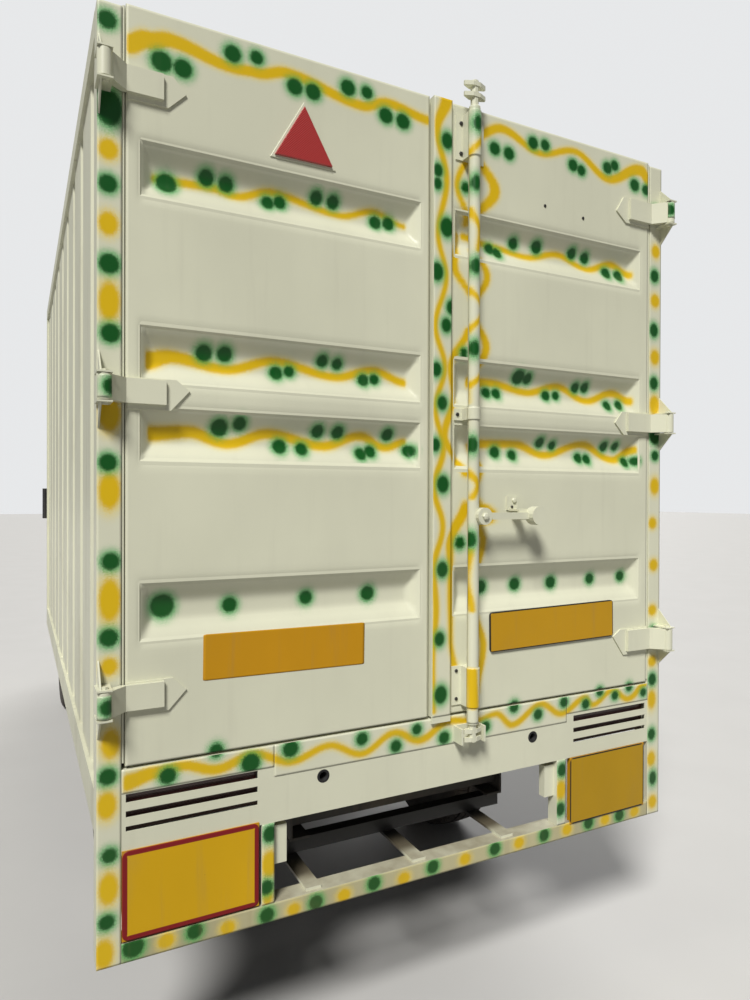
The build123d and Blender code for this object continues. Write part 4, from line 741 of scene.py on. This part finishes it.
# small fixings on the right-hand door, each row is x, height above the bar, y, radius, proud, sides
bolts = [(0.0795, 2.188, -0.005, 0.0065, 0.004, 6), (0.0795, 2.100, -0.005, 0.0065, 0.004, 6),
         (0.069, 0.586, -0.005, 0.0055, 0.004, 6), (0.069, 0.504, -0.005, 0.0055, 0.004, 6),
         (0.070, 1.337, -0.005, 0.0060, 0.004, 6), (0.135, 1.337, -0.005, 0.0060, 0.004, 6),
         (0.270, 1.066, -0.005, 0.0045, 0.004, 6), (0.398, 2.010, -0.001, 0.0050, 0.003, 10),
         (0.556, 2.000, -0.001, 0.0050, 0.003, 10)]
paintedBolts = [(0.278, 1.086, -0.005, 0.0085, 0.006, 6), (0.125, 1.040, -0.070, 0.0110, 0.008, 6)]
for label, rows, material in (("fixings", bolts, axleIron), ("painted_fixings", paintedBolts, hardwareCream)):
    heads = [dome((x, rearFace + y, low + z), -yWay, *size) for x, z, y, *size in rows]
    addPiece(label + "_cargo_door_right", joined(heads), "cargo_door_right", material, smooth=False)
# strips of painted rubber on the posts that close the gaps beside the doors
for sideName, side in bothSides:
    outline = roundedOutline(*sorted((side * 0.8540, side * 0.8592)), rearFace + 0.0010, rearFace + 0.0120, 0.0020)
    addPiece("post_seal_" + sideName, prism(outline, low + 0.470, low + 2.238, "z"), "truck", hardwareCream,
             smooth=False)
# rubber bushes in the apron's two holes; their near-black lining is also painted shade that makes the holes read dark
# inside
bush = [(-0.0014, 0.0168), (-0.0004, 0.0178), (-0.0002, 0.0127), (0.034, 0.0127), (0.034, 0.0108), (-0.0012, 0.0112)]
for label, x, z in (("left", -0.349, 0.350), ("right", 0.359, 0.346)):
    addPiece("bush_" + label, lathe(bush, (x, rearFace + 0.0003, low + z), yWay, 32), "truck", shadedBushRubber)
print("fixings made")


def welded(points, faces):
    # points closer than a hundredth of a millimetre become one
    rounded = np.round(points * 1e5).astype(np.int64)
    _, first, inverse = np.unique(rounded, axis=0, return_index=True, return_inverse=True)
    return points[first], [inverse.ravel()[f] for f in faces]


def thickened(points, quads, offset):
    # sheet and its copy moved by offset, joined along every edge that only one quad uses
    count = len(points)
    edges = np.stack([quads, np.roll(quads, -1, 1)], -1).reshape(-1, 2)
    keys = edges[:, 0] * count + edges[:, 1]
    free = edges[~np.isin(keys, edges[:, 1] * count + edges[:, 0])]
    sides = np.stack([free[:, 1], free[:, 0], free[:, 0] + count, free[:, 1] + count], -1)
    return np.concatenate([points, points + offset]), [quads, quads[:, ::-1] + count, sides]


# tyres: side wall as (x, radius); grooves run round the tread, slots across its shoulders and sipes between the grooves
tyre = {
    "side": [(0.0660, 0.1915), (0.0735, 0.1965), (0.0800, 0.2030), (0.0870, 0.2140), (0.0940, 0.2310), (0.0990, 0.2500),
             (0.1018, 0.2680), (0.1022, 0.2840), (0.1008, 0.3000), (0.0975, 0.3160), (0.0930, 0.3290), (0.0900, 0.3345),
             (0.0860, 0.3392), (0.0810, 0.3425)],
    "tread": 0.076, "crown": 0.350, "crownEdge": 0.3445, "crownHalf": 0.078, "crownPower": 2.4,
    "grooves": (-0.040, 0.0, 0.040), "grooveHalf": 0.0038, "grooveDepth": 0.0075, "slots": 72,
    "phases": (0.0, 0.05, 0.25, 0.30, 0.65), "cut": (0.04, 0.26), "slotDepth": 0.0060, "slotFrom": 0.050,
    "slotRadius": 0.332, "sipeDepth": 0.0022, "sipe": (0.010, 0.032), "lean": (0.03, 0.06, 0.35),
}


def tyreShape(centre):
    # radius = crown less a drop by a power of |x|, less the deepest of groove, slot and sipe; the cuts lean with |x|
    edges = [g + way * (tyre["grooveHalf"] + step) for g in tyre["grooves"] for way in (-1, 1)
             for step in (-0.0008, 0.0002)]
    tread = np.unique(np.concatenate([np.linspace(-tyre["tread"], tyre["tread"], 13), edges]))
    drop = (tyre["crown"] - tyre["crownEdge"]) * (np.abs(tread) / tyre["crownHalf"]) ** tyre["crownPower"]
    side = np.array(tyre["side"])
    x = np.concatenate([side[:, 0], tread[::-1], -side[::-1, 0]])
    radius = np.concatenate([side[:, 1], (tyre["crown"] - drop)[::-1], side[::-1, 1]])
    phase = np.tile(tyre["phases"], tyre["slots"])
    turn = (np.repeat(np.arange(tyre["slots"]), len(tyre["phases"])) + phase) * 2 * math.pi / tyre["slots"]
    out, cut = np.abs(x), ((phase > tyre["cut"][0]) & (phase < tyre["cut"][1]))[:, None]
    groove = np.abs(x[:, None] - np.array(tyre["grooves"])).min(1) < tyre["grooveHalf"]
    slot = cut & (out > tyre["slotFrom"]) & (radius > tyre["slotRadius"])
    sipe = cut & (out > tyre["sipe"][0]) & (out < tyre["sipe"][1])
    depth = np.where(sipe, tyre["sipeDepth"], 0.0)
    for cutHere, deep in ((slot, tyre["slotDepth"]), (groove, tyre["grooveDepth"])):
        depth = np.maximum(depth, np.where(cutHere, deep, 0.0))
    reach = radius - depth
    start, span, rate = tyre["lean"]
    lean = turn[:, None] + np.where(x > 0, 1, -1) * np.clip(out - start, 0, span) * rate
    rings = np.stack([np.broadcast_to(x, reach.shape), reach * np.cos(lean), reach * np.sin(lean)], -1)
    return tube(rings + centre, loop=True)


# rims: rolled barrel, dished disc with oval hand holes, hub cap, nuts and valve; profiles are (x, radius)
rim = {
    "barrel": [(0.0735, 0.1885), (0.0735, 0.1825), (0.0680, 0.1800), (0.0600, 0.1720), (0.0450, 0.1700),
               (0.0300, 0.1580), (-0.0200, 0.1580), (-0.0450, 0.1700), (-0.0600, 0.1720), (-0.0680, 0.1800),
               (-0.0735, 0.1825), (-0.0735, 0.1885), (-0.0660, 0.1895), (-0.0600, 0.1775), (-0.0470, 0.1755),
               (-0.0230, 0.1635), (0.0330, 0.1635), (0.0480, 0.1755), (0.0620, 0.1775), (0.0660, 0.1895)],
    "capFront": [(0.046, 0.050), (0.078, 0.049), (0.086, 0.044), (0.0925, 0.030), (0.0955, 0.004)],
    "capRear": [(0.046, 0.050), (0.062, 0.049), (0.066, 0.040), (0.082, 0.038), (0.086, 0.030), (0.0875, 0.004)],
    "holes": 5, "holeAt": 0.120, "holeSize": (0.0190, 0.0290), "discInner": 0.045, "discOuter": 0.160, "thick": 0.005,
    "nuts": 5, "nutCircle": 0.072, "nutSize": (0.0105, 0.019), "valveAt": (0.17, 0.1735), "valveSize": (0.003, 0.030),
}


def dish(radius):
    # disc's distance outboard: level at the hub, a raised ring by the hand holes, dropping to the barrel
    raised, dropped = np.exp(-((radius - 0.112) / 0.026) ** 2), np.clip((radius - 0.135) / 0.025, 0, 1) ** 2
    return 0.046 + 0.013 * raised - 0.012 * dropped


def rimShape(side, centre, cap):
    # each sector of the disc is eased from its hole's oval (share 0) to the sector's own edge (share 1)
    turn, share = np.linspace(0, 2 * math.pi, 40, endpoint=False), np.linspace(0, 1, 7)[:, None]
    square = np.stack([np.cos(turn), np.sin(turn)]) / np.maximum(np.abs(np.cos(turn)), np.abs(np.sin(turn)))
    middle, half = (rim["discInner"] + rim["discOuter"]) / 2, (rim["discOuter"] - rim["discInner"]) / 2
    sector = math.pi / rim["holes"]
    holeRadius = rim["holeAt"] + rim["holeSize"][0] * np.cos(turn)
    holeTurn = rim["holeSize"][1] / rim["holeAt"] * np.sin(turn)
    radius = holeRadius + (middle + half * square[0] - holeRadius) * share
    angles = [holeTurn + (sector * square[1] - holeTurn) * share + 2 * sector * k for k in range(rim["holes"])]
    sectors = [(np.stack([dish(radius), radius * np.cos(a), radius * np.sin(a)], -1).reshape(-1, 3),
                [gridQuads(*radius.shape, wrapColumns=True)]) for a in angles]
    points, faces = welded(*joined(sectors))
    parts = [thickened(points, faces[0], -rim["thick"] * xWay), lathe(rim["barrel"], (0, 0, 0), xWay, 72),
             lathe(cap, (0, 0, 0), xWay, 32, loop=False)]
    for k in range(rim["nuts"]):
        a = 2 * math.pi * (k + 0.5) / rim["nuts"]
        at = (dish(rim["nutCircle"]) - 0.001, rim["nutCircle"] * math.cos(a), rim["nutCircle"] * math.sin(a))
        parts.append(dome(at, xWay, *rim["nutSize"]))
    parts.append(dome((dish(rim["valveAt"][0]), rim["valveAt"][1], 0.0), xWay, *rim["valveSize"]))
    points, faces = joined(parts)
    return points * (side, 1, 1) + centre, faces


for endName, axleY, cap in (("front", axle, rim["capFront"]), ("rear", place["rearAxle"], rim["capRear"])):
    for sideName, side in bothSides:
        corner, centre = endName + "_" + sideName, np.array([side * place["trackHalf"], axleY, place["wheelHeight"]])
        piece = addPiece("tread_" + corner, tyreShape(centre), "wheel_" + corner, tyreRubber, smooth=False)
        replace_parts(piece, "tyre_" + corner)
        piece = addPiece("disc_" + corner, rimShape(side, centre, cap), "wheel_" + corner, rimSilver)
        softEdge(piece, 0.0012, 1)
        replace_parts(piece, "rim_" + corner)
print("wheels made")

# seat cushions: crowned closed forms with sewn channels, piping along the seam
cushions = {  # x, y, z ranges, way the crown faces, channels across
    "cushion_driver": ((0.112, 0.698), (1.012, 1.483), (1.031, 1.163), "z", 4),
    "cushion_pair": ((-0.698, 0.068), (1.012, 1.483), (1.031, 1.163), "z", 5),
    "backrest_driver": ((0.112, 0.698), (0.878, 1.006), (1.034, 1.697), "y", 4),
    "backrest_pair": ((-0.698, 0.068), (0.878, 1.006), (1.034, 1.697), "y", 5),
}
# sewing: pull of the outline along each way, seams' reach, end, width and depth, height of the puffs between them
sewn = {"pull": (0.018, 0.022), "reach": (0.78, 0.80), "end": 0.79, "width": 0.006, "depth": 0.011, "puff": 0.008}


def cushionShape(spanA, spanB, depth, channels):
    # crown height = (1 - a^8)^(1/3) (1 - b^8)^(1/3) times a low swell, less bells along the seams; sides pull in
    a, b = np.meshgrid(np.linspace(-1, 1, 97), np.linspace(-1, 1, 65), indexing="ij")
    a, b = np.sin(a * math.pi / 2), np.sin(b * math.pi / 2)
    reachA, reachB = sewn["reach"]
    wide, long = (spanA[1] - spanA[0]) / 2, (spanB[1] - spanB[0]) / 2
    x = (spanA[0] + spanA[1]) / 2 + wide * a * (1 - sewn["pull"][0] * (1 - b ** 2))
    y = (spanB[0] + spanB[1]) / 2 + long * b * (1 - sewn["pull"][1] * (1 - a ** 2))
    form = ((1 - np.abs(a) ** 8) * (1 - np.abs(b) ** 8)).clip(0) ** (1 / 3)
    swell = 0.80 + 0.20 * (1 - a ** 2) ** 0.5 * (1 - b ** 2) ** 0.5
    seams = np.linspace(-reachA, reachA, channels + 1)
    sink = np.exp(-((a[..., None] - seams) * wide / sewn["width"]) ** 2).max(-1) * (np.abs(b) < reachB)
    sink = np.maximum(sink, np.exp(-((np.abs(b) - reachB) * long / sewn["width"]) ** 2) * (np.abs(a) < sewn["end"]))
    puff = sewn["puff"] * np.abs(np.sin(math.pi * (a + reachA) / (2 * reachA) * channels))
    puff *= (np.abs(a) < reachA) * (np.abs(b) < reachB)
    up = depth / 2 * form * swell - form * (sewn["depth"] * sink - puff * (1 - sink)) - 0.006 * form
    return x, y, up, -(depth / 2) * form * 0.98


for cushionName, (xs, ys, zs, facing, channels) in cushions.items():
    spanB, spanC, order = (ys, zs, [0, 1, 2]) if facing == "z" else (zs, ys, [0, 2, 1])
    x, second, up, down = cushionShape(xs, spanB, spanC[1] - spanC[0], channels)
    middle = sum(spanC) / 2
    front = np.stack([x, second, middle + up], -1)[..., order]
    back = np.stack([x, second, middle + down - 0.0005], -1)[..., order]
    piece = addPiece(cushionName, closedSheet(front, back), "truck", seatCover)
    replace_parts(piece, "seats")
    seamPath = np.concatenate([front[:-1, 0], front[-1, :-1], front[:0:-1, -1], front[0, :0:-1]])[::3]
    inward = np.array([sum(xs) / 2, sum(ys) / 2, sum(zs) / 2])
    piping = sweep(inward + (seamPath - inward) * 0.993, circle(0.0038, 8), loop=True)
    addPiece(cushionName + "_piping", piping, "truck", darkPlastic)
print("cushions made")

# cab fittings: the side leans in above the waist, the windscreen is a sloping plane
cabPlan = {"waist": 1.230, "lean": 0.068 / 0.800, "sealRadius": 0.007, "sealPoints": 10, "sealStep": 0.012}
screenLow, screenHigh = np.array([0.0, 0.690, 1.230]), np.array([0.0, 0.440, 1.935])
screenUp = (screenHigh - screenLow) / np.linalg.norm(screenHigh - screenLow)
screenOut = np.array([0.0, screenUp[2], -screenUp[1]])
screenMiddle = (screenLow + screenHigh) / 2 + axle * yWay


def sideSkin(z):
    # half width of the cab's side at a height: upright to the waist, then leaning in
    return place["cabHalf"] - np.clip(z - cabPlan["waist"], 0, None) * cabPlan["lean"]


def onScreen(x, up, out):
    # point of the windscreen's plane: middle plus x across, up along it and out from it
    return screenMiddle + x[..., None] * xWay + up[..., None] * screenUp + out * screenOut


def sealPath(corners, radius):
    # closed outline, each corner a quadratic curve between its two tangent points, in equal steps
    corners = np.asarray(corners, float)
    before, after = np.roll(corners, 1, 0) - corners, np.roll(corners, -1, 0) - corners
    before *= radius / np.linalg.norm(before, axis=1, keepdims=True)
    after *= radius / np.linalg.norm(after, axis=1, keepdims=True)
    t = np.linspace(0, 1, 6)[None, :, None]
    bends = (corners + before)[:, None] * (1 - t) ** 2 + corners[:, None] * 2 * t * (1 - t)
    path = (bends + (corners + after)[:, None] * t ** 2).reshape(-1, 2)
    path = np.concatenate([path, path[:1]])
    length = np.concatenate([[0], np.cumsum(np.linalg.norm(np.diff(path, axis=0), axis=1))])
    at = np.linspace(0, length[-1], int(length[-1] / cabPlan["sealStep"]), endpoint=False)
    return np.stack([np.interp(at, length, path[:, k]) for k in (0, 1)], -1)


sealRing = circle(cabPlan["sealRadius"], cabPlan["sealPoints"])
outline = sealPath([(-0.690, -0.290), (0.690, -0.290), (0.640, 0.285), (-0.640, 0.285)], 0.060)
addPiece("windscreen_seal", sweep(onScreen(outline[:, 0], outline[:, 1], -0.006), sealRing, loop=True), "truck",
         darkPlastic)
outline = sealPath([(-0.485, 1.285), (0.490, 1.285), (0.275, 1.840), (-0.485, 1.840)], 0.050)
for sideName, side in bothSides:
    path = np.stack([side * (sideSkin(outline[:, 1]) - 0.004), outline[:, 0] + axle, outline[:, 1]], -1)
    addPiece("window_seal_" + sideName, sweep(path, sealRing, loop=True), "cab_door_" + sideName, darkPlastic)
    # door handle: dished plate behind a pull bar
    y, z = axle - 0.470, 1.160
    plate = prism(roundedOutline(y - 0.075, y + 0.075, z - 0.028, z + 0.028, 0.014), side * 0.8095, side * 0.8125, "x")
    path = np.stack([side * (0.8125 + 0.022 * np.sin(np.linspace(0, math.pi, 15)) ** 0.5),
                     np.linspace(y - 0.060, y + 0.060, 15), np.full(15, z)], -1)
    addPiece("door_handle_" + sideName, joined([plate, sweep(path, circle(0.0065, 10, 0.8))]), "cab_door_" + sideName,
             darkPlastic)
    # drip rail over the door
    path = np.stack([np.full(24, side * (sideSkin(1.948) + 0.002)), np.linspace(-0.60, 0.37, 24) + axle,
                     1.948 + 0.018 * np.sin(np.linspace(0.2, math.pi - 0.3, 24))], -1)
    addPiece("drip_rail_" + sideName, sweep(path, circle(0.008, 10, 0.7)), "truck", cabCream)
    # mirror face on the housing's rear side
    c, s = math.cos(math.radians(55)), math.sin(math.radians(55))
    normal, along = np.array([-side * s, -c, 0.0]), np.array([-side * c, s, 0.0])
    face = roundedOutline(-0.058, 0.058, -0.102, 0.102, 0.016)
    hub = np.array([side * 0.858, axle + 0.470, 1.465])
    rings = np.stack([hub + face[:, :1] * along + face[:, 1:] * zWay + normal * off for off in (0.0185, 0.0205)])
    addPiece("mirror_face_" + sideName, tube(rings), "cab_door_" + sideName, mirrorGlass, smooth=False)
    # corner indicator: a band of the rounded nose corner
    turn, z = np.meshgrid(np.radians(np.linspace(28, 74, 20)), np.linspace(0.872, 0.968, 12), indexing="ij")
    swell = 0.006 * ((1 - np.linspace(-1, 1, 20)[:, None] ** 6) * (1 - np.linspace(-1, 1, 12)[None] ** 6)) ** 0.5
    sheets = [np.stack([side * (0.630 + r * np.cos(turn)), place["nose"] - 0.180 + r * np.sin(turn), z], -1)
              for r in (0.179 + (swell + 0.001), 0.179 + swell * 0)]
    addPiece("indicator_" + sideName, closedSheet(*sheets), "truck", lampAmber)
    # headlamp: domed lens in a rolled rim
    centre = (side * 0.590, place["nose"] - 0.012, 0.920)
    crown = [(0.010 + 0.014 * (1 - c ** 2), 0.078 * c) for c in np.linspace(0, 1, 12)[:0:-1]]
    lens = lathe([(0.001, 0.078)] + crown + [(0.0242, 0.002)], centre, yWay, 48, loop=False)
    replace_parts(addPiece("headlamp_lens_" + sideName, lens, "truck", lampClear), "headlamps")
    ring = lathe(circle(0.0065, 14) + np.array([0.017, 0.0815]), centre, yWay, 64)
    addPiece("headlamp_rim_" + sideName, ring, "truck", chrome)

# wipers lying on the windscreen: foot and tip of the arm, span of the blade
wipers = {"left": ((-0.10, -0.335), (-0.42, -0.120), (-0.62, -0.20)),
          "right": ((0.52, -0.335), (0.20, -0.120), (-0.02, 0.42))}
for label, (foot, tip, span) in wipers.items():
    arm = onScreen(np.linspace(foot[0], tip[0], 12), np.linspace(foot[1], tip[1], 12), 0.004)
    bladeX = np.linspace(*span, 20)
    blade = onScreen(bladeX, tip[1] + (bladeX - tip[0]) * -0.18, -0.004)
    shape = joined([sweep(arm, circle(0.0045, 8, 0.6)), sweep(blade, circle(0.0050, 8)),
                    dome(arm[0], screenOut, 0.014, 0.012, 10)])
    addPiece("wiper_" + label, shape, "truck", darkPlastic)

# blank front plate on the nose above the bumper, with a rolled edge
plate = prism(roundedOutline(-0.170, 0.170, 0.665, 0.765, 0.010), place["nose"] + 0.0012, place["nose"] + 0.0032, "y")
softEdge(addPiece("front_plate", plate, "truck", platePaint, smooth=False), 0.0008)

# steering wheel: round rim, three padded spokes, boss and shaft
wheel = {"centre": np.array([0.380, axle + 0.290, 1.375]), "way": np.array([0.0, -0.53706, 0.84354]), "radius": 0.199,
         "boss": [(-0.016, 0.018), (-0.014, 0.042), (0.002, 0.046), (0.010, 0.040), (0.013, 0.022), (0.0135, 0.003)],
         "shaft": [(-0.300, 0.013), (-0.016, 0.013)]}
upWay = np.cross(xWay, wheel["way"])
upWay = upWay if upWay[2] > 0 else -upWay
turn, section = np.linspace(0, 2 * math.pi, 72, endpoint=False)[:, None], circle(0.0120, 12)
ring = wheel["centre"] + wheel["radius"] * (np.cos(turn) * xWay + np.sin(turn) * upWay)
outward = (ring - wheel["centre"]) / wheel["radius"]
parts = [tube(ring[:, None] + outward[:, None] * section[:, :1] + wheel["way"] * section[:, 1:], loop=True)]
for direction in (xWay, -xWay, -upWay):
    drop = 0.008 * np.cos(np.linspace(0, math.pi / 2, 10))[:, None]
    spoke = wheel["centre"] + np.linspace(0.030, 0.192, 10)[:, None] * direction - wheel["way"] * drop
    flat = circle(1.0, 12) * np.array([0.014, 0.0055])
    parts.append(tube(spoke[:, None] + np.cross(direction, wheel["way"]) * flat[:, :1] + wheel["way"] * flat[:, 1:]))
parts += [lathe(wheel["boss"], wheel["centre"], wheel["way"], 32, loop=False),
          lathe(wheel["shaft"], wheel["centre"], wheel["way"], 16, loop=False)]
piece = addPiece("steering_wheel_rim", joined(parts), "steering_wheel", darkPlastic)
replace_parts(piece, "steering_wheel")
print("cab fittings made")

# floor, pale to the eye and darker to bounced light, so that it lights the underside softly
material, tree, shader = newMaterial("pale studio floor", Roughness=0.7)
ray = node(tree, "LightPath", {}).outputs
seen = maths(tree, "MAXIMUM", ray["Is Glossy Ray"], ray["Is Transmission Ray"])
seen = maths(tree, "MAXIMUM", ray["Is Camera Ray"], seen)
tone = blended(tree, noise(tree, 2.0, 4.0), (0.50, 0.494, 0.482, 1), (0.54, 0.535, 0.524, 1))
feed(tree, shader, {"Base Color": blended(tree, seen, (0.24, 0.236, 0.23, 1), tone)})
mesh = bpy.data.meshes.new("studio_floor")
mesh.from_pydata([(-60, -60, 0), (60, -60, 0), (60, 60, 0), (-60, 60, 0)], [], [(0, 1, 2, 3)])
mesh.materials.append(material)
studioFloor = bpy.data.objects.new("studio_floor", mesh)
bpy.context.scene.collection.objects.link(studioFloor)

# world: one tone for the eye and through glass, one for gloss, a darker one for bounced light
world = bpy.data.worlds.new("studio")
bpy.context.scene.world = world
world.use_nodes = True
tree = world.node_tree
ray = node(tree, "LightPath", {}).outputs
bounced = blended(tree, ray["Is Glossy Ray"], (0.085, 0.089, 0.096, 1), (0.30, 0.305, 0.315, 1))
seen = maths(tree, "MAXIMUM", ray["Is Camera Ray"], ray["Is Transmission Ray"])
feed(tree, tree.nodes["Background"], {"Color": blended(tree, seen, bounced, (0.80, 0.81, 0.82, 1)), "Strength": 1.0})

suns = {  # direction the light comes from, strength, spread in degrees, colour
    "key": ((-0.42, -0.50, 0.76), 3.85, 16.0, (1.0, 0.985, 0.95)),
    "front": ((0.45, 0.72, 0.52), 1.5, 40.0, (1.0, 0.99, 0.975)),
}
for label, (origin, strength, spread, tint) in suns.items():
    lamp = bpy.data.lights.new(label, "SUN")
    lamp.energy, lamp.angle, lamp.color = strength, math.radians(spread), tint
    holder = bpy.data.objects.new(label, lamp)
    holder.rotation_euler = (-Vector(origin)).to_track_quat("-Z", "Y").to_euler()
    bpy.context.scene.collection.objects.link(holder)

# camera: place, then turn, tip and roll in degrees
view = {"at": (-1.0754, -4.1086, 1.5263), "turn": 27.007, "tip": -0.291, "roll": -0.176, "lens": 25.220}
turn, tip, roll = (math.radians(view[k]) for k in ("turn", "tip", "roll"))
forward = Vector((math.sin(turn) * math.cos(tip), math.cos(turn) * math.cos(tip), math.sin(tip)))
levelRight = Vector((math.cos(turn), -math.sin(turn), 0.0))
levelDown = forward.cross(levelRight)
right = levelRight * math.cos(roll) + levelDown * math.sin(roll)
down = levelDown * math.cos(roll) - levelRight * math.sin(roll)
cameraData = bpy.data.cameras.new("photo_view")
cameraData.lens, cameraData.sensor_width, cameraData.clip_start, cameraData.clip_end = view["lens"], 36.0, 0.05, 200.0
camera = bpy.data.objects.new("photo_view", cameraData)
camera.matrix_world = Matrix((right, -down, -forward)).transposed().to_4x4()
camera.location = view["at"]
bpy.context.scene.collection.objects.link(camera)
bpy.context.scene.camera = camera
bpy.context.scene.view_settings.view_transform = "Standard"
